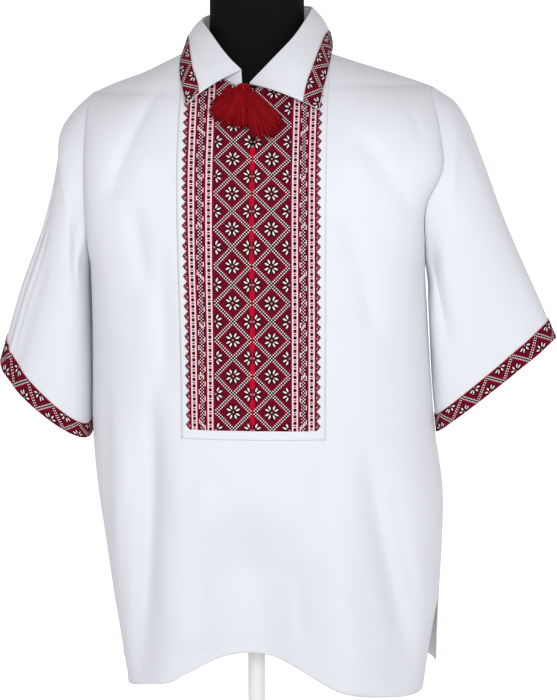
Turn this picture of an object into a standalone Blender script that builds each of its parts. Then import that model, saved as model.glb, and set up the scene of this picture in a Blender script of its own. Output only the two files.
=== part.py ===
"""Vyshyvanka shirt worn by a limbless dress form: a man's pullover shirt with embroidered bands.

Metres, +Z up. The origin is the middle of the base plate's underside and the shirt's front
looks along -Y. Right and left are the wearer's: right is -X, left is +X.
"""

from collections import namedtuple
from math import pi

import bmesh
import bpy
import numpy as np

COLLECTION = "vyshyvanka_shirt_on_dress_form"

# Driving dimensions
CLOTH = 0.0013            # wall of the plain cloth
TRIM = 0.0010             # wall of an embroidered band
SEAM = 0.0006             # space left between pieces at a seam
BODY_SEAM = 0.0010        # the same between front and back, measured at their outer sides
SEAM_RUN = 0.0022         # a sleeve leaves its armhole straight for this far
LIE = 0.0005              # space under a trim that lies on a piece
CENTRE_X = 0.002          # the neck, the slit and the panel stand on this line
REFERENCE_HALF = 0.210    # half-width that the columns of the body are spaced for
ROUNDNESS = 2.4           # power of the body's oval sections
ARM_HALF_DEPTH = 0.068    # armhole, half of its width from front to back
ARMPIT_Z = 0.672
VENT_Z = 0.246            # top of the two side vents
NECK_HALF = 0.068         # half-width of the neck hole
NECK_FRONT_Z = 0.885
NECK_BACK_Z = 0.918
NECK_POINT_Z = 0.936      # where a shoulder seam meets the collar
PANEL_HALF = 0.0905       # half-width of the chest panel
PANEL_FOOT_Z = 0.465
SLIT_FOOT_Z = 0.816
SLIT_HALF = 0.0012
LAST_ROW = 0.992          # the chest panel stops at this share of the way up to the neckline
CUFF_BAND = 0.0215        # width of the sleeve bands
TAPE_SHARE = 0.62         # share of the collar leaf's width where its tape starts
POLE_RADIUS = 0.011
BASE_RADIUS = 0.150
BASE_THICK = 0.014
FORM_FOOT_Z = 0.205

# Body of the shirt at each height: half-widths to the wearer's right and left, depths to
# the front and to the back of the side seams
Section = namedtuple("Section", "z right left front back")
BODY = (
    Section(0.140, 0.174, 0.233, 0.124, 0.108),
    Section(0.190, 0.178, 0.234, 0.124, 0.106),
    Section(0.246, 0.184, 0.2355, 0.124, 0.103),
    Section(0.310, 0.1925, 0.238, 0.124, 0.101),
    Section(0.381, 0.202, 0.238, 0.125, 0.099),
    Section(0.450, 0.207, 0.228, 0.127, 0.098),
    Section(0.520, 0.2065, 0.2215, 0.128, 0.100),
    Section(0.600, 0.205, 0.216, 0.129, 0.105),
    Section(0.690, 0.204, 0.211, 0.135, 0.114),
    Section(0.745, 0.2035, 0.212, 0.134, 0.115),
    Section(0.790, 0.2035, 0.231, 0.129, 0.113),
    Section(0.830, 0.2035, 0.228, 0.122, 0.110),
    Section(0.8875, 0.2024, 0.2165, 0.116, 0.103),
    Section(0.955, 0.2024, 0.2165, 0.112, 0.090),
)

# Height of the shoulder seams at each distance from the middle
Shoulder = namedtuple("Shoulder", "x right left")
SHOULDERS = (
    Shoulder(0.000, 0.955, 0.955),
    Shoulder(0.068, 0.936, 0.936),
    Shoulder(0.096, 0.9235, 0.9255),
    Shoulder(0.138, 0.9035, 0.9120),
    Shoulder(0.172, 0.8912, 0.9020),
    Shoulder(0.2024, 0.8784, 0.8922),
    Shoulder(0.2165, 0.8730, 0.8875),
)

# Height of the hem across the front and across the back
Hem = namedtuple("Hem", "x front back")
HEM = (
    Hem(-0.210, 0.163, 0.148),
    Hem(-0.150, 0.157, 0.150),
    Hem(-0.105, 0.152, 0.155),
    Hem(-0.072, 0.160, 0.158),
    Hem(-0.040, 0.174, 0.157),
    Hem(0.000, 0.184, 0.155),
    Hem(0.034, 0.180, 0.156),
    Hem(0.064, 0.169, 0.160),
    Hem(0.100, 0.152, 0.158),
    Hem(0.130, 0.144, 0.153),
    Hem(0.190, 0.145, 0.148),
    Hem(0.240, 0.158, 0.146),
)

# The front's edges under the vents: how far they stand in from the back's edges
Vent = namedtuple("Vent", "z right left forward")
VENT = (
    Vent(0.140, 0.022, 0.006, 0.030),
    Vent(0.200, 0.008, 0.004, 0.016),
    Vent(VENT_Z, 0.000, 0.000, 0.000),
)

# Folds of the body: a line from its top to its foot, half-width and depth (a ridge is minus)
Fold = namedtuple("Fold", "x_top z_top x_foot z_foot half depth")
FRONT_FOLDS = (
    Fold(-0.108, 0.900, -0.167, 0.750, 0.016, 0.004),
    Fold(-0.138, 0.754, -0.123, 0.640, 0.018, 0.004),
    Fold(-0.102, 0.719, -0.104, 0.500, 0.020, 0.003),
    Fold(-0.118, 0.560, -0.140, 0.120, 0.022, 0.012),
    Fold(-0.166, 0.500, -0.168, 0.120, 0.018, -0.006),
    Fold(-0.071, 0.475, -0.073, 0.180, 0.026, -0.007),
    Fold(0.121, 0.843, 0.200, 0.735, 0.016, 0.004),
    Fold(0.104, 0.760, 0.148, 0.600, 0.018, 0.004),
    Fold(0.140, 0.470, 0.206, 0.130, 0.022, 0.012),
    Fold(0.100, 0.400, 0.130, 0.120, 0.034, -0.010),
    Fold(0.000, 0.400, 0.000, 0.060, 0.062, 0.031),
)
BACK_FOLDS = (
    Fold(-0.060, 0.860, -0.075, 0.560, 0.022, 0.004),
    Fold(0.085, 0.840, 0.070, 0.500, 0.024, 0.004),
    Fold(-0.110, 0.600, -0.128, 0.120, 0.026, 0.011),
    Fold(-0.050, 0.520, -0.060, 0.120, 0.028, -0.008),
    Fold(0.010, 0.640, 0.004, 0.120, 0.026, 0.009),
    Fold(0.062, 0.500, 0.070, 0.120, 0.028, -0.009),
    Fold(0.128, 0.620, 0.150, 0.120, 0.026, 0.012),
)

# Sleeves: the outer and inner lines and the half depth, from armhole to cuff
Ring = namedtuple("Ring", "share outer_x outer_z inner_x inner_z depth")
SLEEVE_RIGHT = (
    Ring(0.00, 0.2030, 0.8784, 0.2045, 0.672, 0.068),
    Ring(0.08, 0.2270, 0.8560, 0.2065, 0.659, 0.068),
    Ring(0.16, 0.2410, 0.8350, 0.2075, 0.646, 0.067),
    Ring(0.30, 0.2455, 0.7980, 0.2080, 0.620, 0.066),
    Ring(0.55, 0.2650, 0.7200, 0.2090, 0.563, 0.063),
    Ring(0.80, 0.2995, 0.6300, 0.2100, 0.502, 0.058),
    Ring(1.00, 0.3255, 0.5440, 0.2115, 0.448, 0.055),
)
SLEEVE_LEFT = (
    Ring(0.00, 0.2171, 0.8875, 0.2130, 0.672, 0.068),
    Ring(0.08, 0.2450, 0.8690, 0.2150, 0.657, 0.067),
    Ring(0.16, 0.2600, 0.8480, 0.2160, 0.644, 0.066),
    Ring(0.30, 0.2780, 0.8050, 0.2175, 0.617, 0.064),
    Ring(0.55, 0.3125, 0.7160, 0.2210, 0.562, 0.057),
    Ring(0.80, 0.3510, 0.6320, 0.2260, 0.506, 0.046),
    Ring(1.00, 0.3755, 0.5760, 0.2320, 0.454, 0.037),
)

# Folds of the sleeves: the turn round the sleeve from its outer line, where a front fold is
# below one half turn, then their shares along it, half-width in turns and depth
Crease = namedtuple("Crease", "turn_top turn_foot start stop half depth")
CREASES_RIGHT = (
    Crease(0.085, 0.060, 0.15, 1.10, 0.022, 0.005),
    Crease(0.330, 0.300, -0.10, 0.45, 0.035, 0.006),
    Crease(0.160, 0.130, 0.50, 1.10, 0.030, 0.004),
    Crease(0.760, 0.800, 0.10, 1.10, 0.040, 0.006),
)
CREASES_LEFT = (
    Crease(0.380, 0.350, -0.05, 0.75, 0.035, 0.006),
    Crease(0.720, 0.680, 0.10, 1.10, 0.040, 0.006),
    Crease(0.860, 0.840, 0.20, 0.90, 0.030, 0.004),
)
CUFF_DROP = {"right": 0.014, "left": -0.002}    # how far the cuff's front hangs below its line

# Collar: the fold line and the outer edge, from the front opening (share 0) to the middle of
# the back (share 1). The outer edge lies on the body: its height is given, and its depth found.
Leaf = namedtuple("Leaf", "share fold_x fold_y fold_z edge_x edge_y edge_z")
COLLAR = (
    Leaf(0.00, 0.0075, -0.0850, 0.899, 0.079, -0.107, 0.8630),
    Leaf(0.14, 0.0270, -0.0790, 0.919, 0.088, -0.078, 0.8930),
    Leaf(0.28, 0.0440, -0.0620, 0.939, 0.093, -0.048, 0.9150),
    Leaf(0.42, 0.0600, -0.0370, 0.957, 0.0955, -0.018, 0.9280),
    Leaf(0.56, 0.0710, -0.0060, 0.970, 0.0950, 0.016, 0.9310),
    Leaf(0.72, 0.0660, 0.0360, 0.977, 0.0880, 0.062, 0.9260),
    Leaf(0.86, 0.0400, 0.0640, 0.980, 0.0540, 0.092, 0.9220),
    Leaf(1.00, 0.0000, 0.0740, 0.981, 0.0000, 0.102, 0.9200),
)
COLLAR_TILT = 0.006       # the fold is this much higher on the left side, lower on the right
COLLAR_OPENING = 0.0070   # half of the gap between the stand's ends
STAND_LIFT = 0.0026       # the stand's foot clears the body's edge by this much
LEAF_CROWN = 0.006        # how far the leaf rounds out between its fold and its edge

# Tie: the knot, and each tassel from its neck to its fringe
KNOT_AT = (-0.004, -0.112, 0.884)
KNOT_SIZE = (0.0115, 0.0075, 0.0095)
Fan = namedtuple("Fan", "share x y z half_x half_y")
TASSEL_RIGHT = (
    Fan(0.0, -0.0160, -0.1195, 0.8850, 0.0035, 0.0035),
    Fan(0.3, -0.0200, -0.1225, 0.8750, 0.0075, 0.0055),
    Fan(0.7, -0.0265, -0.1255, 0.8600, 0.0140, 0.0060),
    Fan(1.0, -0.0320, -0.1270, 0.8470, 0.0185, 0.0050),
)
TASSEL_LEFT = (
    Fan(0.0, 0.0030, -0.1245, 0.8760, 0.0035, 0.0035),
    Fan(0.3, 0.0090, -0.1270, 0.8650, 0.0080, 0.0055),
    Fan(0.7, 0.0185, -0.1310, 0.8480, 0.0145, 0.0065),
    Fan(1.0, 0.0265, -0.1335, 0.8320, 0.0190, 0.0055),
)

# Dress form at each height: half-width, depths to front and back
Girth = namedtuple("Girth", "z half front back")
FORM = (
    Girth(0.205, 0.150, 0.076, 0.082),
    Girth(0.290, 0.158, 0.080, 0.086),
    Girth(0.380, 0.160, 0.088, 0.084),
    Girth(0.470, 0.158, 0.098, 0.080),
    Girth(0.560, 0.166, 0.107, 0.086),
    Girth(0.640, 0.176, 0.117, 0.096),
    Girth(0.710, 0.183, 0.123, 0.104),
    Girth(0.770, 0.186, 0.118, 0.102),
    Girth(0.820, 0.186, 0.107, 0.094),
    Girth(0.850, 0.182, 0.096, 0.085),
    Girth(0.868, 0.172, 0.087, 0.077),
    Girth(0.882, 0.155, 0.078, 0.070),
    Girth(0.894, 0.128, 0.066, 0.058),
    Girth(0.905, 0.098, 0.056, 0.050),
    Girth(0.915, 0.072, 0.051, 0.045),
    Girth(0.926, 0.0610, 0.049, 0.044),
    Girth(0.940, 0.0585, 0.050, 0.047),
    Girth(0.965, 0.0580, 0.051, 0.052),
    Girth(1.010, 0.0580, 0.053, 0.053),
    Girth(1.040, 0.0580, 0.054, 0.054),
)
NECK_TOP_ROUND = 0.010    # rounding at the top of the form's neck

# Grids: cells across and along each piece
SIDE_CELLS = 9            # from the panel's edge to the side seam
PANEL_CELLS = 8
BODY_ROWS = (7, 15)       # below and above the panel's foot
SLEEVE_ROWS = 9
COLLAR_CELLS = 34
FORM_CELLS = 36

COLOURS = {
    "white_cloth": ((0.80, 0.82, 0.88), 0.85, 0.0),
    "embroidery": ((0.35, 0.02, 0.05), 0.75, 0.0),
    "red_thread": ((0.42, 0.005, 0.015), 0.65, 0.0),
    "black_cover": ((0.012, 0.013, 0.013), 0.8, 0.0),
    "white_metal": ((0.85, 0.85, 0.86), 0.4, 0.0),
}


def read(table, name, where):
    """A column's values at these keys (the first column), on a smooth curve through the rows."""
    keys = np.array([row[0] for row in table])
    values = np.array([getattr(row, name) for row in table])
    steps = np.diff(values) / np.diff(keys)
    slopes = np.concatenate([steps[:1], (steps[:-1] + steps[1:]) / 2, steps[-1:]])
    where = np.clip(np.asarray(where, float), keys[0], keys[-1])
    row = np.clip(np.searchsorted(keys, where, side="right") - 1, 0, len(keys) - 2)
    span = keys[row + 1] - keys[row]
    t = (where - keys[row]) / span
    rest = 1 - t
    return (
        values[row] * (1 + 2 * t) * rest**2
        + slopes[row] * span * t * rest**2
        + values[row + 1] * (3 - 2 * t) * t**2
        - slopes[row + 1] * span * rest * t**2
    )


def ease(t):
    """0 up to t = 0, 1 from t = 1, smooth between."""
    t = np.clip(t, 0.0, 1.0)
    return t * t * (3 - 2 * t)


def by_side(x, right, left):
    """The wearer's right value where x is negative, the left one elsewhere."""
    return np.where(np.asarray(x) < 0, right, left)


# ---------------------------------------------------------------- body of the shirt


def half_width(x, z):
    return by_side(x, read(BODY, "right", z), read(BODY, "left", z))


def shoulder_z(x):
    return by_side(x, read(SHOULDERS, "right", np.abs(x)), read(SHOULDERS, "left", np.abs(x)))


def shoulder_point(sign):
    """Height and x of the armhole's top on this side."""
    x = half_width(sign, 0.8875)
    return float(shoulder_z(sign * x)), float(sign * x)


def armhole_half_depth(x, z):
    """Half of the armhole's opening from front to back, 0 below the armpit."""
    top = by_side(x, shoulder_point(-1)[0], shoulder_point(1)[0])
    middle = (top + ARMPIT_Z) / 2
    reach = (top - ARMPIT_Z) / 2
    return ARM_HALF_DEPTH * np.sqrt(np.clip(1 - ((z - middle) / reach) ** 2, 0, None))


def fold_depth(folds, x, z):
    """How far the folds press the cloth in at this place."""
    total = np.zeros_like(x)
    for fold in folds:
        share = (fold.z_top - z) / (fold.z_top - fold.z_foot)
        line = fold.x_top + (fold.x_foot - fold.x_top) * share
        fade = ease(share / 0.35) * ease((1 - share) / 0.12)
        total += fold.depth * fade * np.exp(-(((x - line) / fold.half) ** 2))
    return total


def body_point(x, z, face):
    """The cloth's outer surface at x and z: face is -1 for the front and 1 for the back."""
    side = half_width(x, z)
    forward = np.zeros_like(z)
    if face < 0:
        inset = by_side(x, read(VENT, "right", z), read(VENT, "left", z))
        side = side - np.where(z < VENT_Z, inset, 0)
        forward = np.where(z < VENT_Z, read(VENT, "forward", z), 0)
    across = np.clip(np.abs(x) / side, 0, 1)
    oval = (1 - across**ROUNDNESS) ** (1 / ROUNDNESS)
    depth = read(BODY, "front" if face < 0 else "back", z)
    drop = shoulder_z(x) - z
    reach = 0.20 - 0.115 * ease(np.abs(x) / 0.20)
    crown = np.sqrt(np.clip(1 - np.clip(1 - drop / reach, 0, 1) ** 2, 0, None))
    edge = np.maximum(armhole_half_depth(x, z), forward)
    press = fold_depth(FRONT_FOLDS if face < 0 else BACK_FOLDS, x, z)
    out = edge + (depth * crown - edge) * oval - press * crown * np.sqrt(oval)
    return np.stack([x, face * (out + BODY_SEAM / 2), z], axis=-1)


def body_columns():
    """Where the columns stand at the reference width, from the wearer's right to the left."""
    steps = np.arange(1, SIDE_CELLS + 1) / SIDE_CELLS
    middle = np.linspace(-PANEL_HALF, PANEL_HALF, PANEL_CELLS + 1) + CENTRE_X
    left = middle[-1] + (REFERENCE_HALF - middle[-1]) * np.sin(steps * pi / 2)
    right = middle[0] - (REFERENCE_HALF + middle[0]) * np.sin(steps * pi / 2)
    return np.concatenate([right[::-1], middle, left])


def body_x(column, z, face):
    """A column's x at height z: the middle stands straight and the sides follow the width."""
    side = half_width(column, z)
    if face < 0:
        inset = by_side(column, read(VENT, "right", z), read(VENT, "left", z))
        side = side - np.where(z < VENT_Z, inset, 0)
    start = np.abs(PANEL_HALF + CENTRE_X * np.sign(column))
    share = np.clip((np.abs(column) - start) / (REFERENCE_HALF - start), 0, 1)
    return column + np.sign(column) * (side - REFERENCE_HALF) * share


def top_z(column, face):
    """The height where a column ends: at the shoulder seam or at the neckline."""
    x = body_x(column, np.full_like(column, 0.90), face)
    out = np.clip(np.abs(column - CENTRE_X) / NECK_HALF, 0, 1)
    middle = NECK_FRONT_Z if face < 0 else NECK_BACK_Z
    neckline = middle + (NECK_POINT_Z - middle) * out**2.2
    return np.where(out < 0.999, neckline, shoulder_z(x))


def new_object(name, mesh_maker, finish):
    """An object made by mesh_maker(bm), in the model's collection, with its own material."""
    bm = bmesh.new()
    mesh_maker(bm)
    mesh = bpy.data.meshes.new(name)
    bm.to_mesh(mesh)
    bm.free()
    obj = bpy.data.objects.new(name, mesh)
    bpy.data.collections[COLLECTION].objects.link(obj)
    dress(obj, finish)
    return obj


def dress(obj, finish):
    """The object's own material, from the colours above."""
    colour, roughness, metallic = COLOURS[finish]
    material = bpy.data.materials.new(f"{obj.name}_{finish}")
    material.use_nodes = True
    shader = material.node_tree.nodes["Principled BSDF"]
    shader.inputs["Base Color"].default_value = (*colour, 1.0)
    shader.inputs["Roughness"].default_value = roughness
    shader.inputs["Metallic"].default_value = metallic
    obj.data.materials.clear()
    obj.data.materials.append(material)
    obj.data.shade_smooth()


def cloth_grid(bm, points, closed=False):
    """A grid whose vertices go to points[row][column]; closed joins its last column to its first."""
    rows, columns = points.shape[:2]
    bmesh.ops.create_grid(bm, x_segments=columns - 1, y_segments=rows - 1, size=1)
    for vert in bm.verts:
        column = round((vert.co.x + 1) / 2 * (columns - 1))
        row = round((vert.co.y + 1) / 2 * (rows - 1))
        vert.co = points[row][column]
    if closed:
        bmesh.ops.remove_doubles(bm, verts=bm.verts[:], dist=1e-6)


def wall(obj, thickness, inward=True):
    """Gives a sheet its thickness, to its inner side or to its outer side."""
    solid = obj.modifiers.new("wall", "SOLIDIFY")
    solid.thickness = thickness
    solid.offset = -1 if inward else 1
    solid.use_rim = True
    return solid


def slit_open(bm, foot_z, half):
    """Cuts the middle column open above foot_z and draws its two sides apart."""
    def on_line(vert):
        return abs(vert.co.x - CENTRE_X) < 1e-5
    def above(vert):
        return vert.co.z > foot_z - 1e-5
    edges = [e for e in bm.edges if all(on_line(v) and above(v) for v in e.verts)]
    bmesh.ops.split_edges(bm, edges=edges)
    for vert in bm.verts:
        if on_line(vert) and vert.co.z > foot_z + 1e-5:
            middle = sum(f.calc_center_median().x for f in vert.link_faces) / len(vert.link_faces)
            vert.co.x += half if middle > CENTRE_X else -half


def body_rows(columns, face):
    """Heights of the rows: up to the panel's foot, then up to the neckline and the shoulders."""
    below, above = BODY_ROWS
    hem = read(HEM, "front" if face < 0 else "back", columns)
    lower = np.linspace(0, 1, below + 1)[:-1, None]
    upper = np.sin(np.linspace(0, 1, above) * pi / 2) ** 0.9 * LAST_ROW
    upper = np.append(upper, 1.0)[:, None]
    return np.concatenate([
        hem + (PANEL_FOOT_Z - hem) * lower,
        PANEL_FOOT_Z + (top_z(columns, face) - PANEL_FOOT_Z) * upper,
    ])


def body_points(face):
    """The front's or the back's grid, its columns ordered so that its outer side looks out."""
    columns = body_columns() if face < 0 else body_columns()[::-1]
    z = body_rows(columns, face)
    x = np.stack([body_x(columns, row, face) for row in z])
    return body_point(x, z, face)


def normals(points):
    """Outward directions of a grid of points, from its neighbours."""
    across = np.gradient(points, axis=1)
    along = np.gradient(points, axis=0)
    normal = np.cross(across, along)
    return normal / np.maximum(np.linalg.norm(normal, axis=-1, keepdims=True), 1e-12)


def make_body():
    points = body_points(-1)
    first = SIDE_CELLS
    middle = first + PANEL_CELLS // 2
    slit_row = np.argmin(np.abs(points[:, middle, 2] - SLIT_FOOT_Z))
    slit_foot = points[slit_row][middle][2]

    def front(bm):
        cloth_grid(bm, points)
        slit_open(bm, slit_foot, SLIT_HALF)

    def back(bm):
        cloth_grid(bm, body_points(1))

    wall(new_object("front", front, "white_cloth"), CLOTH)
    wall(new_object("back", back, "white_cloth"), CLOTH)

    raised = points + normals(points) * LIE
    raised = raised[BODY_ROWS[0]:-1, first:first + PANEL_CELLS + 1]

    def panel(bm):
        cloth_grid(bm, raised)
        slit_open(bm, slit_foot, SLIT_HALF)

    wall(new_object("chest_panel", panel, "embroidery"), TRIM, inward=False)


# ---------------------------------------------------------------- sleeves


def sleeve_point(side, turn, share):
    """A sleeve's outer surface: turn goes round from its outer line by the front."""
    sign = -1 if side == "right" else 1
    table = SLEEVE_RIGHT if side == "right" else SLEEVE_LEFT
    outer_x, outer_z, inner_x, inner_z, depth = (
        read(table, name, share) for name in Ring._fields[1:]
    )
    cosine = np.cos(2 * pi * turn)
    sine = np.sin(2 * pi * turn)
    x = (outer_x + inner_x) / 2 + (outer_x - inner_x) / 2 * cosine
    z = (outer_z + inner_z) / 2 + (outer_z - inner_z) / 2 * cosine
    first = table[0]
    seam_z = (first.outer_z + first.inner_z) / 2 + (first.outer_z - first.inner_z) / 2 * cosine
    straight = (first.outer_x + first.inner_x) / 2 + (first.outer_x - first.inner_x) / 2 * cosine
    seam_x = half_width(sign, seam_z) + SEAM
    x = x + (seam_x - straight) * (1 - ease(share / 0.25))
    z = z - CUFF_DROP[side] * np.clip(sine, 0, None) * ease((share - 0.4) / 0.6)
    inward = 0.0
    for crease in CREASES_RIGHT if side == "right" else CREASES_LEFT:
        along = (share - crease.start) / (crease.stop - crease.start)
        line = crease.turn_top + (crease.turn_foot - crease.turn_top) * along
        fade = ease(along / 0.3) * ease((1 - along) / 0.3) * ease(share / 0.12)
        inward = inward + crease.depth * fade * np.exp(-(((turn - line) / crease.half) ** 2))
    shrink = 1 - inward / depth
    middle_x = (outer_x + inner_x) / 2
    return np.stack([
        sign * (middle_x + (x - middle_x) * (1 - inward / 0.08)),
        -depth * sine * shrink,
        z,
    ], axis=-1)


def cuff_start(side):
    """The share along the sleeve where the cuff band begins."""
    table = SLEEVE_RIGHT if side == "right" else SLEEVE_LEFT
    last, before = table[-1], table[-2]
    run = np.hypot(last.outer_x - before.outer_x, last.outer_z - before.outer_z)
    rise = np.hypot(last.inner_x - before.inner_x, last.inner_z - before.inner_z)
    return 1 - CUFF_BAND * (1 - before.share) / ((run + rise) / 2)


def sleeve_turns(side):
    """Turns round a sleeve that meet the rows of the body at its armhole."""
    sign = -1 if side == "right" else 1
    heights = body_rows(np.array([sign * REFERENCE_HALF]), -1)[:, 0]
    top = float(shoulder_point(sign)[0])
    middle = (top + ARMPIT_Z) / 2
    reach = (top - ARMPIT_Z) / 2
    inside = heights[(heights > ARMPIT_Z + 0.004) & (heights < top - 0.001)][::-1]
    front = np.arccos((inside - middle) / reach) / (2 * pi)
    return np.concatenate([[0], front, [0.5], 1 - front[::-1], [1]])


def sleeve_points(side, shares):
    turns = sleeve_turns(side)
    if side == "right":
        turns = turns[::-1]
    turn, share = np.meshgrid(turns, shares)
    points = sleeve_point(side, turn, share)
    sign = -1 if side == "right" else 1
    straight = points[:1] + np.array([sign * SEAM_RUN, 0, 0])
    return np.concatenate([points[:1], straight, points[1:]])


def closed_normals(points):
    """Outward directions on a tube of points whose last column repeats the first."""
    wrapped = np.concatenate([points[:, -2:-1], points, points[:, 1:2]], axis=1)
    return normals(wrapped)[:, 1:-1]


def make_sleeves():
    for side in ("right", "left"):
        start = cuff_start(side)
        shares = np.append(np.linspace(0, 1, SLEEVE_ROWS) ** 1.15 * start, 1.0)
        points = sleeve_points(side, shares)
        raised = (points + closed_normals(points) * LIE)[-2:]

        def sleeve(bm, points=points):
            cloth_grid(bm, points, closed=True)

        def band(bm, raised=raised):
            cloth_grid(bm, raised, closed=True)

        wall(new_object(f"sleeve_{side}", sleeve, "white_cloth"), CLOTH)
        wall(new_object(f"cuff_band_{side}", band, "embroidery"), TRIM, inward=False)


# ---------------------------------------------------------------- collar


def neckline(share, side):
    """The body's neck edge: share 0 at the front opening, 1 at the middle of the back."""
    sign = -1 if side == "right" else 1
    front = np.asarray(share) < 0.5
    opening = COLLAR_OPENING / NECK_HALF
    out = np.where(front, opening + (1 - opening) * share / 0.5, (1 - share) / 0.5)
    out = np.clip(np.sin(out * pi / 2), opening, 1)
    out = np.where(share > 0.5, np.sin(np.clip((1 - share) / 0.5, 0, 1) * pi / 2), out)
    x = CENTRE_X + sign * out * NECK_HALF
    rise = out**2.2
    z = np.where(front, NECK_FRONT_Z, NECK_BACK_Z)
    z = z + (NECK_POINT_Z - z) * rise
    ahead = body_point(x, z, -1)
    behind = body_point(x, z, 1)
    return np.where(front[..., None], ahead, behind)


def collar_rows(share, side):
    """Base, fold and outer edge of the collar at this share round the neck."""
    sign = -1 if side == "right" else 1
    columns = {name: read(COLLAR, name, share) for name in Leaf._fields[1:]}
    tilt = sign * COLLAR_TILT * ease((share - 0.3) / 0.3) * columns["fold_x"] / 0.07
    fold = np.stack([
        CENTRE_X + sign * columns["fold_x"],
        columns["fold_y"],
        columns["fold_z"] + tilt,
    ], axis=-1)
    edge = np.stack([
        CENTRE_X + sign * columns["edge_x"],
        columns["edge_y"],
        columns["edge_z"] + tilt * 0.4,
    ], axis=-1)
    return neckline(share, side), fold, edge


def collar_line():
    """Shares and sides round the whole neck, from the wearer's right front to the left front."""
    half = np.linspace(0, 1, COLLAR_CELLS // 2 + 1)
    right = collar_rows(half, "right")
    left = collar_rows(half[:-1][::-1], "left")
    return [np.concatenate(pair) for pair in zip(right, left)]


def make_collar():
    base, fold, edge = collar_line()
    lift = np.array([0.0, 0.0, STAND_LIFT])
    inner = np.stack([fold, base + lift])
    inner[0] = fold + np.array([0.0, 0.0, -0.0012])

    def stand(bm):
        cloth_grid(bm, inner)

    wall(new_object("collar_stand", stand, "white_cloth"), CLOTH)

    flat = edge - fold
    run = np.gradient(fold, axis=0)
    outward = np.stack([-run[:, 1], run[:, 0], np.zeros(len(run))], axis=-1)
    outward /= np.linalg.norm(outward, axis=-1, keepdims=True)
    shares = np.array([0.0, 0.14, 0.36, TAPE_SHARE, 0.82, 1.0])[:, None, None]
    crown = np.sin(shares * pi) ** 0.8 * LEAF_CROWN
    leaf = fold + outward * 0.0022 + flat * shares
    leaf = leaf + outward * crown + np.array([0.0, 0.0, 1.0]) * crown * 0.5

    def fall(bm):
        cloth_grid(bm, leaf)

    wall(new_object("collar_fall", fall, "white_cloth"), CLOTH)
    raised = leaf + normals(leaf) * LIE

    def tape(bm):
        cloth_grid(bm, raised[3:])

    wall(new_object("collar_tape", tape, "embroidery"), TRIM, inward=False)


# ---------------------------------------------------------------- tie


def make_tie():
    def knot(bm):
        bmesh.ops.create_uvsphere(bm, u_segments=16, v_segments=10, radius=1.0)
        bmesh.ops.scale(bm, vec=KNOT_SIZE, verts=bm.verts[:])
        bmesh.ops.translate(bm, vec=KNOT_AT, verts=bm.verts[:])

    new_object("tie_knot", knot, "red_thread")
    for side, table in (("right", TASSEL_RIGHT), ("left", TASSEL_LEFT)):
        def tassel(bm, table=table):
            loops = []
            for row in table:
                ring = bmesh.ops.create_circle(bm, segments=14, radius=1.0)["verts"]
                bmesh.ops.scale(bm, vec=(row.half_x, row.half_y, 1.0), verts=ring)
                bmesh.ops.translate(bm, vec=(row.x, row.y, row.z), verts=ring)
                loops.append(ring)
            bridge(bm, loops)

        new_object(f"tassel_{side}", tassel, "red_thread")


def bridge(bm, loops):
    """Joins rings of vertices into one closed body with flat ends, faces out."""
    for low, high in zip(loops, loops[1:]):
        edges = [e for e in bm.edges if all(v in low for v in e.verts)]
        edges += [e for e in bm.edges if all(v in high for v in e.verts)]
        bmesh.ops.bridge_loops(bm, edges=edges)
    bmesh.ops.contextual_create(bm, geom=loops[0])
    bmesh.ops.contextual_create(bm, geom=loops[-1])
    bmesh.ops.recalc_face_normals(bm, faces=bm.faces[:])


# ---------------------------------------------------------------- form and stand


def form_ring(bm, z, half, front, back):
    """One oval ring of the form."""
    ring = bmesh.ops.create_circle(bm, segments=FORM_CELLS, radius=1.0)["verts"]
    power = 2 / 2.25
    for vert in ring:
        across = np.sign(vert.co.x) * abs(vert.co.x) ** power
        through = np.sign(vert.co.y) * abs(vert.co.y) ** power
        vert.co = (CENTRE_X + across * half, through * (front if through < 0 else back), z)
    return ring


def make_form():
    top = FORM[-1]

    def form(bm):
        loops = [form_ring(bm, row.z, row.half, row.front, row.back) for row in FORM]
        for turn in (0.25, 0.5, 0.75, 1.0):
            inset = NECK_TOP_ROUND * (1 - np.cos(turn * pi / 2))
            rise = NECK_TOP_ROUND * np.sin(turn * pi / 2)
            loops.append(form_ring(
                bm, top.z + rise, top.half - inset, top.front - inset, top.back - inset
            ))
        bridge(bm, loops)

    new_object("dress_form", form, "black_cover")


def make_stand():
    pole_top = FORM_FOOT_Z - 0.0003
    pole_foot = BASE_THICK + 0.0103

    def pole(bm):
        bmesh.ops.create_cone(
            bm, cap_ends=True, segments=24, radius1=POLE_RADIUS, radius2=POLE_RADIUS,
            depth=pole_top - pole_foot,
        )
        bmesh.ops.translate(bm, vec=(0, 0, (pole_top + pole_foot) / 2), verts=bm.verts[:])

    new_object("stand_pole", pole, "white_metal")

    profile = (
        (0.0, BASE_THICK + 0.010),
        (0.017, BASE_THICK + 0.010),
        (0.020, BASE_THICK + 0.007),
        (0.021, BASE_THICK),
        (BASE_RADIUS - 0.010, BASE_THICK - 0.005),
        (BASE_RADIUS - 0.002, BASE_THICK - 0.007),
        (BASE_RADIUS, BASE_THICK - 0.010),
        (BASE_RADIUS, 0.0),
        (0.0, 0.0),
    )

    def outline(bm):
        verts = [bm.verts.new((x, 0.0, z)) for x, z in profile]
        for one, other in zip(verts, verts[1:]):
            bm.edges.new((one, other))

    base = new_object("stand_base", outline, "white_metal")
    turn = base.modifiers.new("turn", "SCREW")
    turn.steps = 48
    turn.render_steps = 48
    turn.use_merge_vertices = True
    turn.merge_threshold = 0.0001


def main():
    for obj in list(bpy.data.objects):
        bpy.data.objects.remove(obj)
    collection = bpy.data.collections.new(COLLECTION)
    bpy.context.scene.collection.children.link(collection)
    make_body()
    make_sleeves()
    make_collar()
    make_tie()
    make_form()
    make_stand()


main()
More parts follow.
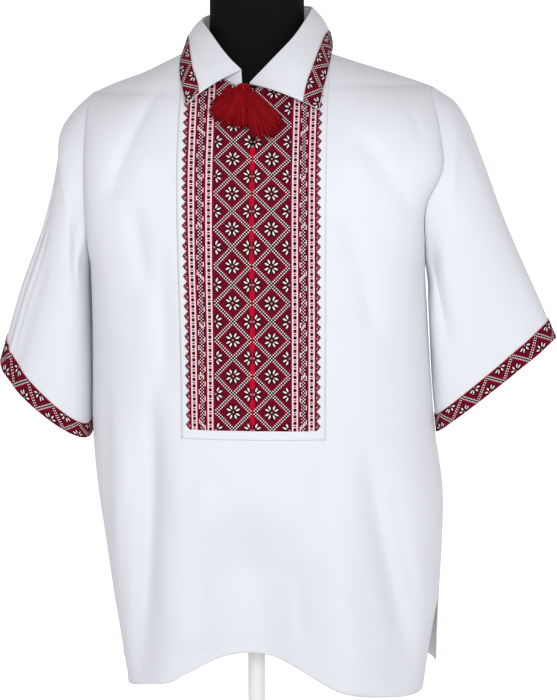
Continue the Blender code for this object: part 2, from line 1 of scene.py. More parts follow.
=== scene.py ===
"""Vyshyvanka shirt on a limbless dress form, with its cloth, embroidery and tie finished.

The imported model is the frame. Every cloth piece is made again on the surface of its solid, much
finer, with creases, seams and hems, and the embroidery is charted stitch by stitch.
Metres, +Z up, and the shirt's front looks along -Y. Right and left are the wearer's: right is -X.
"""

from collections import namedtuple
from functools import cache
from math import pi, radians

import bmesh
import bpy
import numpy as np
from bpy.props import FloatProperty, FloatVectorProperty, IntProperty, PointerProperty
from mathutils import Matrix, Vector


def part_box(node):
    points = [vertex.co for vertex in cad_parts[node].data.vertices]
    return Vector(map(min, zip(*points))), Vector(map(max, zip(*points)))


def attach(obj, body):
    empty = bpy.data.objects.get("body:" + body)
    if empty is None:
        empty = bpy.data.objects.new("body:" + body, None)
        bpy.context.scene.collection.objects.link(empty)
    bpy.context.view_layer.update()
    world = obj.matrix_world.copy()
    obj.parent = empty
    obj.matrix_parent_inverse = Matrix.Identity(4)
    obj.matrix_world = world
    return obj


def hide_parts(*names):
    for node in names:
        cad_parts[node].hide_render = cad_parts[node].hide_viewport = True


bl_info = {
    "name": "Vyshyvanka Shirt",
    "version": (1, 0, 0),
    "blender": (4, 5, 0),
    "location": "View3D > Sidebar > Shirt",
    "description": "Sews a man's embroidered shirt on a dress form, on a small studio stage",
    "category": "Object",
}

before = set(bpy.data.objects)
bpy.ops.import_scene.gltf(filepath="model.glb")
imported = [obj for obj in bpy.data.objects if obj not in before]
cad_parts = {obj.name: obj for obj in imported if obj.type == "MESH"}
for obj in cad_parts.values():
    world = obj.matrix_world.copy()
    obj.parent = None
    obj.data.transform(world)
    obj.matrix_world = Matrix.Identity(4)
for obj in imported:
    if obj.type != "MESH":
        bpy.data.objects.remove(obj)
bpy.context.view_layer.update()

# ---------------------------------------------------------------- sizes shared with the frame

LIE = 0.0005              # space under a trim that lies on a piece
CENTRE_X = 0.002          # the neck, the collar and the form stand on this line
REFERENCE_HALF = 0.210    # half-width that the columns of the body are spaced for
ROUNDNESS = 2.4           # power of the body's oval sections
ARM_HALF_DEPTH = 0.068    # armhole, half of its width from front to back
ARMPIT_Z = 0.672
VENT_Z = 0.246            # top of the two side vents
NECK_HALF = 0.068
NECK_FRONT_Z = 0.885
NECK_BACK_Z = 0.918
NECK_POINT_Z = 0.936      # where a shoulder seam meets the collar
NECK_ROUND = 2.2          # power of the neckline's curve from its middles to there
PANEL_HALF = 0.0905
PANEL_FOOT_Z = 0.465
SLIT_FOOT_Z = 0.816
CUFF_BAND = 0.0235
TAPE_WIDE = 0.0222
COLLAR_TILT = 0.006       # the fold is this much higher on the left side, lower on the right
COLLAR_OPENING = 0.0070   # the stand's front edges are this far from the neck's middle
STAND_LIFT = 0.00091      # the stand's foot is this far above the neckline
LEAF_CROWN = 0.006        # the leaf is rounded out this far between its fold and its edge
BASE_THICK = 0.014
NECK_TOP_ROUND = 0.010    # radius of the form's top edge
FORM_FOOT_INSET = 0.006   # its lowest ring is drawn in by this
SIGNS = {"right": -1, "left": 1}

Section = namedtuple("Section", "z right left front back")
BODY = (
    Section(0.140, 0.174, 0.233, 0.124, 0.108),
    Section(0.190, 0.178, 0.234, 0.124, 0.106),
    Section(0.246, 0.184, 0.2355, 0.124, 0.103),
    Section(0.310, 0.1925, 0.238, 0.124, 0.101),
    Section(0.381, 0.202, 0.238, 0.125, 0.099),
    Section(0.450, 0.207, 0.228, 0.127, 0.098),
    Section(0.520, 0.2065, 0.2215, 0.128, 0.100),
    Section(0.600, 0.205, 0.216, 0.129, 0.105),
    Section(0.690, 0.204, 0.211, 0.135, 0.114),
    Section(0.745, 0.2035, 0.212, 0.134, 0.115),
    Section(0.790, 0.2035, 0.231, 0.129, 0.113),
    Section(0.830, 0.2035, 0.228, 0.122, 0.110),
    Section(0.8875, 0.2024, 0.2165, 0.116, 0.103),
    Section(0.955, 0.2024, 0.2165, 0.112, 0.090),
)

Shoulder = namedtuple("Shoulder", "x right left")
SHOULDERS = (
    Shoulder(0.000, 0.955, 0.955),
    Shoulder(0.068, 0.936, 0.936),
    Shoulder(0.096, 0.9235, 0.9255),
    Shoulder(0.138, 0.9035, 0.9120),
    Shoulder(0.172, 0.8912, 0.9020),
    Shoulder(0.2024, 0.8784, 0.8922),
    Shoulder(0.2165, 0.8730, 0.8875),
)

Hem = namedtuple("Hem", "x front back")
HEM = (
    Hem(-0.210, 0.1320, 0.148),
    Hem(-0.175, 0.1390, 0.149),
    Hem(-0.150, 0.1440, 0.150),
    Hem(-0.120, 0.1485, 0.153),
    Hem(-0.098, 0.1540, 0.156),
    Hem(-0.072, 0.1670, 0.158),
    Hem(-0.040, 0.1820, 0.157),
    Hem(0.000, 0.1870, 0.155),
    Hem(0.034, 0.1840, 0.156),
    Hem(0.064, 0.1720, 0.160),
    Hem(0.100, 0.1530, 0.158),
    Hem(0.130, 0.1420, 0.153),
    Hem(0.160, 0.1360, 0.150),
    Hem(0.190, 0.1310, 0.148),
    Hem(0.240, 0.1310, 0.146),
)

Vent = namedtuple("Vent", "z right left forward")
VENT = (
    Vent(0.130, 0.012, 0.017, 0.032),
    Vent(0.200, 0.005, 0.008, 0.016),
    Vent(VENT_Z, 0.000, 0.000, 0.000),
)

# Large folds: a line from its top to its foot, half-width and depth (a ridge is minus)
Fold = namedtuple("Fold", "x_top z_top x_foot z_foot half depth")
FRONT_FOLDS = (
    Fold(-0.108, 0.900, -0.167, 0.750, 0.016, 0.004),
    Fold(-0.138, 0.754, -0.123, 0.640, 0.018, 0.004),
    Fold(-0.102, 0.719, -0.104, 0.500, 0.020, 0.003),
    Fold(-0.118, 0.560, -0.140, 0.120, 0.022, 0.012),
    Fold(-0.166, 0.500, -0.168, 0.120, 0.018, -0.006),
    Fold(-0.071, 0.475, -0.073, 0.180, 0.026, -0.007),
    Fold(0.121, 0.843, 0.200, 0.735, 0.016, 0.004),
    Fold(0.104, 0.760, 0.148, 0.600, 0.018, 0.004),
    Fold(0.140, 0.470, 0.206, 0.130, 0.022, 0.012),
    Fold(0.100, 0.400, 0.130, 0.120, 0.034, -0.010),
    Fold(0.000, 0.400, 0.000, 0.060, 0.062, 0.031),
)
BACK_FOLDS = (
    Fold(-0.060, 0.860, -0.075, 0.560, 0.022, 0.004),
    Fold(0.085, 0.840, 0.070, 0.500, 0.024, 0.004),
    Fold(-0.110, 0.600, -0.128, 0.120, 0.026, 0.011),
    Fold(-0.050, 0.520, -0.060, 0.120, 0.028, -0.008),
    Fold(0.010, 0.640, 0.004, 0.120, 0.026, 0.009),
    Fold(0.062, 0.500, 0.070, 0.120, 0.028, -0.009),
    Fold(0.128, 0.620, 0.150, 0.120, 0.026, 0.012),
)

# Fine creases of the body: three places on each line, its half-width towards the wearer's right
# and towards the left, and its depth
Line = namedtuple("Line", "x1 z1 x2 z2 x3 z3 right left depth")
FRONT_CREASES = (
    Line(-0.091, 0.914, -0.134, 0.839, -0.167, 0.750, 0.010, 0.006, 0.0030),
    Line(-0.124, 0.906, -0.150, 0.886, -0.181, 0.862, 0.008, 0.005, 0.0014),
    Line(-0.138, 0.762, -0.130, 0.706, -0.122, 0.640, 0.014, 0.010, 0.0030),
    Line(-0.102, 0.735, -0.103, 0.616, -0.104, 0.500, 0.009, 0.014, 0.0028),
    Line(-0.120, 0.560, -0.120, 0.400, -0.137, 0.160, 0.009, 0.013, 0.0060),
    Line(-0.180, 0.560, -0.181, 0.400, -0.183, 0.280, 0.012, 0.009, 0.0040),
    Line(-0.158, 0.400, -0.160, 0.290, -0.164, 0.170, 0.010, 0.008, 0.0022),
    Line(-0.071, 0.480, -0.072, 0.343, -0.076, 0.200, 0.016, 0.012, 0.0030),
    Line(0.121, 0.848, 0.160, 0.797, 0.207, 0.731, 0.008, 0.011, 0.0026),
    Line(0.104, 0.760, 0.136, 0.665, 0.150, 0.560, 0.008, 0.013, 0.0032),
    Line(0.139, 0.480, 0.160, 0.345, 0.206, 0.150, 0.010, 0.014, 0.0058),
    Line(0.169, 0.440, 0.192, 0.315, 0.214, 0.200, 0.007, 0.010, 0.0030),
    Line(0.087, 0.500, 0.088, 0.380, 0.086, 0.250, 0.014, 0.018, 0.0026),
    Line(0.063, 0.300, 0.063, 0.250, 0.066, 0.195, 0.009, 0.012, 0.0022),
    Line(0.186, 0.868, 0.199, 0.846, 0.204, 0.815, 0.006, 0.004, 0.0016),
    Line(0.182, 0.815, 0.185, 0.780, 0.186, 0.735, 0.003, 0.009, 0.0014),
)
BACK_CREASES = (
    Line(-0.150, 0.880, -0.165, 0.820, -0.186, 0.750, 0.008, 0.012, 0.0028),
    Line(-0.085, 0.780, -0.096, 0.680, -0.104, 0.560, 0.012, 0.009, 0.0028),
    Line(-0.152, 0.600, -0.160, 0.430, -0.158, 0.240, 0.010, 0.014, 0.0036),
    Line(-0.020, 0.700, -0.028, 0.520, -0.022, 0.360, 0.014, 0.011, 0.0024),
    Line(0.036, 0.880, 0.043, 0.800, 0.046, 0.700, 0.009, 0.012, 0.0018),
    Line(0.096, 0.660, 0.104, 0.500, 0.096, 0.310, 0.012, 0.010, 0.0032),
    Line(0.150, 0.868, 0.170, 0.800, 0.194, 0.735, 0.011, 0.007, 0.0028),
    Line(0.170, 0.560, 0.186, 0.400, 0.198, 0.220, 0.010, 0.013, 0.0034),
)

# Sleeves: the outer and inner lines and the half depth, from armhole to cuff
Ring = namedtuple("Ring", "share outer_x outer_z inner_x inner_z depth")
SLEEVES = {
    "right": (
        Ring(0.00, 0.2030, 0.8784, 0.2045, 0.672, 0.068),
        Ring(0.08, 0.2270, 0.8560, 0.2065, 0.659, 0.068),
        Ring(0.16, 0.2410, 0.8350, 0.2075, 0.646, 0.067),
        Ring(0.30, 0.2455, 0.7980, 0.2080, 0.620, 0.066),
        Ring(0.55, 0.2650, 0.7200, 0.2090, 0.563, 0.063),
        Ring(0.80, 0.2995, 0.6300, 0.2100, 0.502, 0.058),
        Ring(1.00, 0.3255, 0.5440, 0.2115, 0.448, 0.055),
    ),
    "left": (
        Ring(0.00, 0.2171, 0.8875, 0.2130, 0.672, 0.068),
        Ring(0.08, 0.2450, 0.8690, 0.2150, 0.657, 0.067),
        Ring(0.16, 0.2600, 0.8480, 0.2160, 0.644, 0.066),
        Ring(0.30, 0.2780, 0.8050, 0.2165, 0.617, 0.064),
        Ring(0.55, 0.3125, 0.7160, 0.2197, 0.562, 0.057),
        Ring(0.80, 0.3510, 0.6320, 0.2240, 0.506, 0.046),
        Ring(1.00, 0.3755, 0.5760, 0.2295, 0.454, 0.037),
    ),
}

# Folds of the sleeves: the turn round the sleeve from its outer line, where a front fold is
# below one half turn, then their shares along it, half-width in turns and depth
Crease = namedtuple("Crease", "turn_top turn_foot start stop half depth")
SLEEVE_FOLDS = {
    "right": (
        Crease(0.085, 0.060, 0.15, 1.10, 0.022, 0.005),
        Crease(0.330, 0.300, -0.10, 0.45, 0.035, 0.006),
        Crease(0.160, 0.130, 0.50, 1.10, 0.030, 0.004),
        Crease(0.760, 0.800, 0.10, 1.10, 0.040, 0.006),
        Crease(0.075, 0.062, 0.10, 1.00, 0.008, 0.0030),
        Crease(0.130, 0.100, 0.42, 1.05, 0.009, 0.0026),
        Crease(0.400, 0.360, 0.00, 0.34, 0.014, 0.0020),
        Crease(0.880, 0.850, 0.05, 0.80, 0.014, 0.0024),
        Crease(0.640, 0.600, 0.10, 0.70, 0.018, 0.0022),
    ),
    "left": (
        Crease(0.380, 0.350, -0.05, 0.75, 0.035, 0.006),
        Crease(0.720, 0.680, 0.10, 1.10, 0.040, 0.006),
        Crease(0.860, 0.840, 0.20, 0.90, 0.030, 0.004),
        Crease(0.395, 0.360, 0.02, 0.60, 0.012, 0.0020),
        Crease(0.060, 0.085, 0.02, 0.42, 0.016, 0.0014),
        Crease(0.900, 0.870, 0.05, 0.55, 0.014, 0.0022),
    ),
}
CUFF_DROP = {"right": 0.014, "left": -0.002}    # how far the cuff's front hangs below its line

Leaf = namedtuple("Leaf", "share fold_x fold_y fold_z edge_x edge_y edge_z")
COLLAR = (
    Leaf(0.00, 0.0075, -0.0850, 0.899, 0.079, -0.107, 0.8630),
    Leaf(0.14, 0.0270, -0.0790, 0.919, 0.088, -0.078, 0.8930),
    Leaf(0.28, 0.0440, -0.0620, 0.939, 0.093, -0.048, 0.9150),
    Leaf(0.42, 0.0600, -0.0370, 0.957, 0.0955, -0.018, 0.9280),
    Leaf(0.56, 0.0710, -0.0060, 0.970, 0.0950, 0.016, 0.9310),
    Leaf(0.72, 0.0660, 0.0360, 0.977, 0.0880, 0.062, 0.9260),
    Leaf(0.86, 0.0400, 0.0640, 0.980, 0.0540, 0.092, 0.9220),
    Leaf(1.00, 0.0000, 0.0740, 0.981, 0.0000, 0.102, 0.9200),
)

# How each side of the collar lies beside that: the leaf hangs closer at the sides, and the
# wearer's left front folds over lower and further in
Lie = namedtuple("Lie", "share fold_x fold_z edge_x edge_z")
COLLAR_LIES = {
    "right": (
        Lie(0.00, 0.0045, 0.0070, -0.0040, 0.0035),
        Lie(0.14, 0.0010, 0.0020, -0.0040, 0.0010),
        Lie(0.28, 0.0000, 0.0000, -0.0055, 0.0010),
        Lie(0.42, -0.0020, 0.0000, -0.0085, -0.0010),
        Lie(0.56, -0.0040, 0.0000, -0.0090, -0.0010),
        Lie(0.72, -0.0030, 0.0000, -0.0040, 0.0000),
        Lie(1.00, 0.0000, 0.0000, 0.0000, 0.0000),
    ),
    "left": (
        Lie(0.00, -0.0095, -0.0085, 0.0025, -0.0020),
        Lie(0.14, -0.0030, -0.0015, -0.0010, 0.0000),
        Lie(0.28, 0.0000, 0.0000, -0.0030, 0.0000),
        Lie(0.42, -0.0020, 0.0000, -0.0050, 0.0000),
        Lie(0.56, -0.0050, 0.0000, -0.0060, 0.0000),
        Lie(0.72, -0.0030, 0.0000, -0.0030, 0.0000),
        Lie(1.00, 0.0000, 0.0000, 0.0000, 0.0000),
    ),
}

Girth = namedtuple("Girth", "z half front back")
FORM = (
    Girth(0.205, 0.150, 0.076, 0.082),
    Girth(0.290, 0.158, 0.080, 0.086),
    Girth(0.380, 0.160, 0.088, 0.084),
    Girth(0.470, 0.158, 0.098, 0.080),
    Girth(0.560, 0.166, 0.107, 0.086),
    Girth(0.640, 0.176, 0.117, 0.096),
    Girth(0.710, 0.183, 0.123, 0.104),
    Girth(0.770, 0.186, 0.118, 0.102),
    Girth(0.820, 0.186, 0.107, 0.094),
    Girth(0.850, 0.182, 0.096, 0.085),
    Girth(0.868, 0.172, 0.087, 0.077),
    Girth(0.882, 0.155, 0.078, 0.070),
    Girth(0.894, 0.128, 0.066, 0.058),
    Girth(0.905, 0.098, 0.056, 0.050),
    Girth(0.915, 0.072, 0.051, 0.045),
    Girth(0.926, 0.0610, 0.049, 0.044),
    Girth(0.940, 0.0585, 0.050, 0.047),
    Girth(0.965, 0.0580, 0.051, 0.052),
    Girth(1.010, 0.0580, 0.053, 0.053),
    Girth(1.040, 0.0580, 0.054, 0.054),
)

# ---------------------------------------------------------------- sizes of the finished pieces

SEAM_GAP = 0.00008        # front and back meet along their side seams
GROOVE = 0.0008           # depth of a sewn seam's groove
GROOVE_REACH = 0.0018
HEM_RAISE = 0.00035       # the turned hems stand out this much
HEM_STEP = 0.0012         # and rise to it over this width
VENT_TURNED = 0.007       # width that is turned in beside a vent
SLIT_HALF = 0.0012        # half of the open slit's width
EASED_FROM_Z = 0.53       # the armhole's depth starts to swell the sides here
SEAM_LINE = 0.00055       # half-width of a sewn line: its groove, and the painted shade along it
SEAM_STITCH = 0.0026      # one sewn stitch with its gap
SEWN_SHARE = 0.72         # of that, the stitch
IN_GAP = 0.0025           # a run that falls in the gap, so that a seam shows only its line of painted shade
HEM_LINES = 0.0045        # from one of the hem's two sewn lines to the other
VENT_LINE = 0.006
ARMHOLE_LINE = 0.0065
SHOULDER_LINE = 0.0055
PANEL_LINE = 0.002
SIDE_CELLS = 44           # columns from the chest panel's edge to a side seam
PANEL_CELLS = 40
BODY_ROWS = (64, 112)     # rows below and above the chest panel's foot
PANEL_GRID = (90, 149)    # columns and rows of the chest panel's own cloth
SLEEVE_TURNS = 150
SLEEVE_SHARES = 84
COLLAR_STEPS = 84         # along half of the collar
FORM_SEGMENTS = 96

# The embroidery: square stitches counted from the middle column and from the foot
STITCH_WIDE = 0.00193
EMBROIDERY_X = 0.0063     # its middle column, and the slit
EMBROIDERY_FOOT = 0.4768
FIELD_HALF = 24.5         # stitches from the middle to the edge of the diamond field
BAND_STITCHES = 19        # stitches across one side band
TOOTH_COLUMNS = 3         # the outermost of them, which run in teeth
SQUEEZE = (0.92, 1.0, 0.93)    # side bands: wearer's right at its foot and its top, and left
MARGIN = 0.0065           # plain cloth beside the embroidery
BAND_ROWS = 12            # stitches across a cuff band or the collar's tape
REPEAT = 22               # stitches from one diamond to the next
# Heights of the diamonds' centres; they stand closer where the chest slopes back
DIAMONDS = (
    0.456, 0.500, 0.544, 0.588, 0.633, 0.6773, 0.7221, 0.7631, 0.8030, 0.842, 0.880, 0.917, 0.954,
)

# Half of a star, charted from its centre out: row b, column a, where a is the smaller
# distance from the centre and b the larger one. The w stitches are its petals.
STAR = (
    "m",
    "nd",
    "kwk",
    "nwwd",
    "dnwnc",
    "cddccc",
)

# One stitch: its thread is drawn as a lens on a ground of another thread. The lens has a middle
# and an axis (both in stitches, from the stitch's own centre), a half-length and a half-width.
Stitch = namedtuple("Stitch", "thread ground middle axis long short")
UP = (0.0, 1.0)
RISING = (0.707, 0.707)

# ---------------------------------------------------------------- settings


def colour_setting(name, description, default):
    return FloatVectorProperty(
        name=name, description=description, default=default, size=3, min=0, max=1, subtype="COLOR"
    )


def length_setting(name, description, default, low, high):
    return FloatProperty(
        name=name, description=description, default=default, min=low, max=high, unit="LENGTH"
    )


def light_setting(name, description, default, high, **kind):
    return FloatProperty(
        name=name, description=description, default=default, min=0, max=high, **kind
    )


class ShirtSettings(bpy.types.PropertyGroup):
    """Sizes and colours of the cloth"""

    cloth_wall: length_setting("Cloth", "Thickness of the plain cloth", 0.0008, 0.0003, 0.002)
    hem_width: length_setting("Hem", "Width of the turned hem", 0.009, 0.004, 0.03)
    crease_depth: FloatProperty(
        name="Creases", description="Depth of the fine creases", default=1.0,
        min=0.0, max=2.0, subtype="FACTOR",
    )
    cloth_colour: colour_setting("Cloth colour", "Colour of the plain cloth", (0.74, 0.755, 0.805))
    weave_pitch: length_setting("Weave", "Distance from one thread to the next", 0.0006, 0.0002, 0.002)


class EmbroiderySettings(bpy.types.PropertyGroup):
    """Thread colours of the embroidery, and its relief"""

    crimson: colour_setting("Crimson", "Ground of the bands", (0.215, 0.001, 0.018))
    bright: colour_setting("Bright red", "Middle line and the cuffs' edge lines", (0.47, 0.003, 0.024))
    bordeaux: colour_setting("Bordeaux", "Dark ground round the stars", (0.085, 0.001, 0.010))
    black: colour_setting("Black", "Outlines and dots", (0.010, 0.002, 0.004))
    white: colour_setting("White", "Stars and dotted lines", (0.94, 0.91, 0.88))
    rose: colour_setting("Rose", "Pale edge stripes", (0.90, 0.64, 0.70))
    raised: length_setting(
        "Relief", "How far the stitches stand on the cloth", 0.0005, 0.0001, 0.002
    )


class TieSettings(bpy.types.PropertyGroup):
    """Threads of the tie"""

    threads: IntProperty(
        name="Threads", description="Threads in each tassel", default=520, min=20, max=900,
    )
    thread_radius: length_setting("Thread", "Radius of one thread", 0.00042, 0.0001, 0.002)
    colour: colour_setting("Thread colour", "Colour of the tie", (0.30, 0.001, 0.006))


class StageSettings(bpy.types.PropertyGroup):
    """Floor and lights"""

    floor_colour: colour_setting("Floor", "Colour of the floor and the sweep", (0.93, 0.93, 0.93))
    key_power: light_setting("Key light", "Power of the large soft light", 60.0, 500, unit="POWER")
    fill_power: light_setting("Fill light", "Power of the fill light", 5.0, 500, unit="POWER")
    sweep_glow: light_setting("Sweep", "How brightly the paper behind is lit", 0.66, 2)
    room_light: light_setting("Room", "Strength of the even light from all sides", 0.42, 5)


# ---------------------------------------------------------------- reading tables and surfaces


def read(table, name, where):
    """A column's values at these keys (the first column), on a smooth curve through the rows."""
    keys = np.array([row[0] for row in table])
    values = np.array([getattr(row, name) for row in table])
    steps = np.diff(values) / np.diff(keys)
    slopes = np.concatenate([steps[:1], (steps[:-1] + steps[1:]) / 2, steps[-1:]])
    where = np.clip(np.asarray(where, float), keys[0], keys[-1])
    row = np.clip(np.searchsorted(keys, where, side="right") - 1, 0, len(keys) - 2)
    span = keys[row + 1] - keys[row]
    t = (where - keys[row]) / span
    rest = 1 - t
    return (
        values[row] * (1 + 2 * t) * rest**2
        + slopes[row] * span * t * rest**2
        + values[row + 1] * (3 - 2 * t) * t**2
        - slopes[row + 1] * span * rest * t**2
    )


def ease(t):
    """0 up to t = 0, 1 from t = 1, smooth between."""
    t = np.clip(t, 0.0, 1.0)
    return t * t * (3 - 2 * t)


def by_side(x, right, left):
    """The wearer's right value where x is negative, the left one elsewhere."""
    return np.where(np.asarray(x) < 0, right, left)


def read_side(table, x, where):
    """The value from the column for the side that x is on."""
    return by_side(x, read(table, "right", where), read(table, "left", where))


def half_width(x, z):
    return read_side(BODY, x, z)


def side_x(x, z, face):
    """Half of this piece's width on the side of x: beside a vent the front is cut narrower."""
    side = half_width(x, z)
    return side - np.where(z < VENT_Z, read_side(VENT, x, z), 0) if face < 0 else side


def shoulder_z(x):
    return read_side(SHOULDERS, x, np.abs(x))


def shoulder_top(sign):
    """Height of the armhole's top on this side."""
    x = half_width(sign, 0.8875)
    return float(shoulder_z(sign * x))


def armhole_half_depth(x, z):
    """Half of the armhole's opening from front to back, 0 below the armpit."""
    top = by_side(x, shoulder_top(-1), shoulder_top(1))
    middle = (top + ARMPIT_Z) / 2
    reach = (top - ARMPIT_Z) / 2
    return ARM_HALF_DEPTH * np.sqrt(np.clip(1 - ((z - middle) / reach) ** 2, 0, None))


def fold_depth(folds, x, z):
    """How far the large folds press the cloth in at this place."""
    total = np.zeros_like(x)
    for fold in folds:
        share = (fold.z_top - z) / (fold.z_top - fold.z_foot)
        line = fold.x_top + (fold.x_foot - fold.x_top) * share
        fade = ease(share / 0.35) * ease((1 - share) / 0.12)
        total += fold.depth * fade * np.exp(-(((x - line) / fold.half) ** 2))
    return total


def crease_depth(creases, x, z):
    """How far the fine creases press it in: each bends through three places and has soft lips."""
    total = np.zeros_like(x)
    for crease in creases:
        share = (crease.z1 - z) / (crease.z1 - crease.z3)
        middle = (crease.z1 - crease.z2) / (crease.z1 - crease.z3)
        straight = crease.x1 + (crease.x3 - crease.x1) * share
        bow = crease.x2 - (crease.x1 + (crease.x3 - crease.x1) * middle)
        line = straight + bow * share * (1 - share) / (middle * (1 - middle))
        lean = (crease.x3 - crease.x1) / (crease.z1 - crease.z3)
        away = (x - line) / np.sqrt(1 + lean**2)
        t = np.where(away < 0, away / crease.right, away / crease.left)
        fade = ease(share / 0.3) * ease((1 - share) / 0.35)
        total += crease.depth * fade * (1 - 0.35 * t**2) * np.exp(-(t**2))
    return total


def ripple(x, z, seed):
    """Faint unevenness of hanging cloth, under a millimetre, the same on every run."""
    rng = np.random.default_rng(seed)
    total = np.zeros_like(x)
    for _ in range(9):
        across, along = rng.uniform(14, 46), rng.uniform(2, 13)
        phase, turn = rng.uniform(0, 2 * pi), rng.uniform(-0.5, 0.5)
        total += np.sin(2 * pi * (across * (x + turn * z * 0.3) / 2 + along * z / 2) + phase)
    return total * 0.00011


def body_point(x, z, face):
    """The cloth's outer surface at x and z: face is -1 for the front and 1 for the back."""
    x, z = np.broadcast_arrays(np.asarray(x, float), np.asarray(z, float))
    forward = np.zeros_like(z)
    if face < 0:
        forward = np.where(z < VENT_Z, read(VENT, "forward", z), 0)
    across = np.clip(np.abs(x) / side_x(x, z, face), 0, 1)
    oval = (1 - across**ROUNDNESS) ** (1 / ROUNDNESS)
    depth = read(BODY, "front" if face < 0 else "back", z)
    drop = shoulder_z(x) - z
    reach = 0.20 - 0.115 * ease(np.abs(x) / 0.20)
    crown = np.sqrt(np.clip(1 - np.clip(1 - drop / reach, 0, 1) ** 2, 0, None))
    edge = np.maximum(armhole_half_depth(x, z), forward)
    press = fold_depth(FRONT_FOLDS if face < 0 else BACK_FOLDS, x, z)
    fine = crease_depth(FRONT_CREASES if face < 0 else BACK_CREASES, x, z)
    press = press + fine * bpy.context.scene.shirt.crease_depth + ripple(x, z, 5 + face)
    middle = (shoulder_top(1) + ARMPIT_Z) / 2
    eased = ARM_HALF_DEPTH * ease((z - EASED_FROM_Z) / (middle - EASED_FROM_Z))
    eased = np.maximum(np.where(z > middle, edge, eased), forward)
    eased = eased + (edge - eased) * (1 - oval) ** 2.5
    out = eased + (depth * crown - eased) * oval - press * crown * np.sqrt(oval)
    return np.stack([x, face * (out + SEAM_GAP), z], axis=-1)


def raised_body_point(x, z, lift):
    """The front's surface moved out by lift, for what lies on it."""
    step = 0.0004
    across = body_point(x + step, z, -1) - body_point(x - step, z, -1)
    along = body_point(x, z + step, -1) - body_point(x, z - step, -1)
    normal = np.cross(across, along)
    normal /= np.linalg.norm(normal, axis=-1, keepdims=True)
    return body_point(x, z, -1) + normal * np.asarray(lift)[..., None]


def body_columns():
    """Where the columns stand at the reference width, from the wearer's right to the left."""
    steps = np.arange(1, SIDE_CELLS + 1) / SIDE_CELLS
    middle = np.linspace(-PANEL_HALF, PANEL_HALF, PANEL_CELLS + 1) + EMBROIDERY_X
    left = middle[-1] + (REFERENCE_HALF - middle[-1]) * np.sin(steps * pi / 2)
    right = middle[0] - (REFERENCE_HALF + middle[0]) * np.sin(steps * pi / 2)
    return np.concatenate([right[::-1], middle, left])


def body_x(column, z, face):
    """A column's x at height z: the middle stands straight and the sides follow the width."""
    start = np.abs(PANEL_HALF + EMBROIDERY_X * np.sign(column))
    share = np.clip((np.abs(column) - start) / (REFERENCE_HALF - start), 0, 1)
    return column + np.sign(column) * (side_x(column, z, face) - REFERENCE_HALF) * share


def neck_edge_z(x, face):
    """The height where the body ends above x: at the neckline or at the shoulder seam."""
    out = np.clip(np.abs(x - CENTRE_X) / NECK_HALF, 0, 1)
    middle = NECK_FRONT_Z if face < 0 else NECK_BACK_Z
    neckline = middle + (NECK_POINT_Z - middle) * out**NECK_ROUND
    return np.where(out < 0.999, neckline, shoulder_z(x))


def top_z(column, face):
    """The height where a column of the body ends."""
    z = np.full_like(column, 0.90)
    for _ in range(6):
        z = shoulder_z(body_x(column, z, face))
    inside = np.abs(column - CENTRE_X) < 0.999 * NECK_HALF
    return np.where(inside, neck_edge_z(column, face), z)


def body_points(face):
    """The front's or the back's grid, its columns ordered so that its outer side looks out."""
    columns = body_columns() if face < 0 else body_columns()[::-1]
    hem = read(HEM, "front" if face < 0 else "back", columns)
    below, above = BODY_ROWS
    lower = (np.linspace(0, 1, below + 1)[:-1, None]) ** 1.12
    upper = (np.sin(np.linspace(0, 1, above + 1) * pi / 2) ** 0.9)[:, None]
    z = np.concatenate([
        hem + (PANEL_FOOT_Z - hem) * lower,
        PANEL_FOOT_Z + (top_z(columns, face) - PANEL_FOOT_Z) * upper,
    ])
    x = np.stack([body_x(columns, row, face) for row in z])
    return body_point(x, z, face)


def normals(points, closed=False):
    """Outward directions of a grid of points, from its neighbours."""
    if closed:
        wrapped = np.concatenate([points[:, -2:-1], points, points[:, 1:2]], axis=1)
        return normals(wrapped)[:, 1:-1]
    across = np.gradient(points, axis=1)
    along = np.gradient(points, axis=0)
    normal = np.cross(across, along)
    return normal / np.maximum(np.linalg.norm(normal, axis=-1, keepdims=True), 1e-12)


def run_along(points, axis):
    """Length along the grid's rows (axis 1) or columns (axis 0), from its first edge."""
    steps = np.linalg.norm(np.diff(points, axis=axis), axis=-1)
    start = np.zeros_like(steps[:1] if axis == 0 else steps[:, :1])
    return np.concatenate([start, np.cumsum(steps, axis=axis)], axis=axis)


def measure(points):
    """Lengths across and along a grid, to its nearer side edge and to its last row."""
    across, along = run_along(points, 1), run_along(points, 0)
    side = np.minimum(across, across[:, -1:] - across)
    return across, along, side, along[-1:] - along


def line_run(points):
    """Length along a line of points, from its first one."""
    return np.concatenate([[0], np.cumsum(np.linalg.norm(np.diff(points, axis=0), axis=1))])


# ---------------------------------------------------------------- meshes


def grid_place(vert, columns, rows):
    """The row and the column of a vertex in a new grid with this many cells."""
    return round((vert.co.y + 1) / 2 * rows), round((vert.co.x + 1) / 2 * columns)


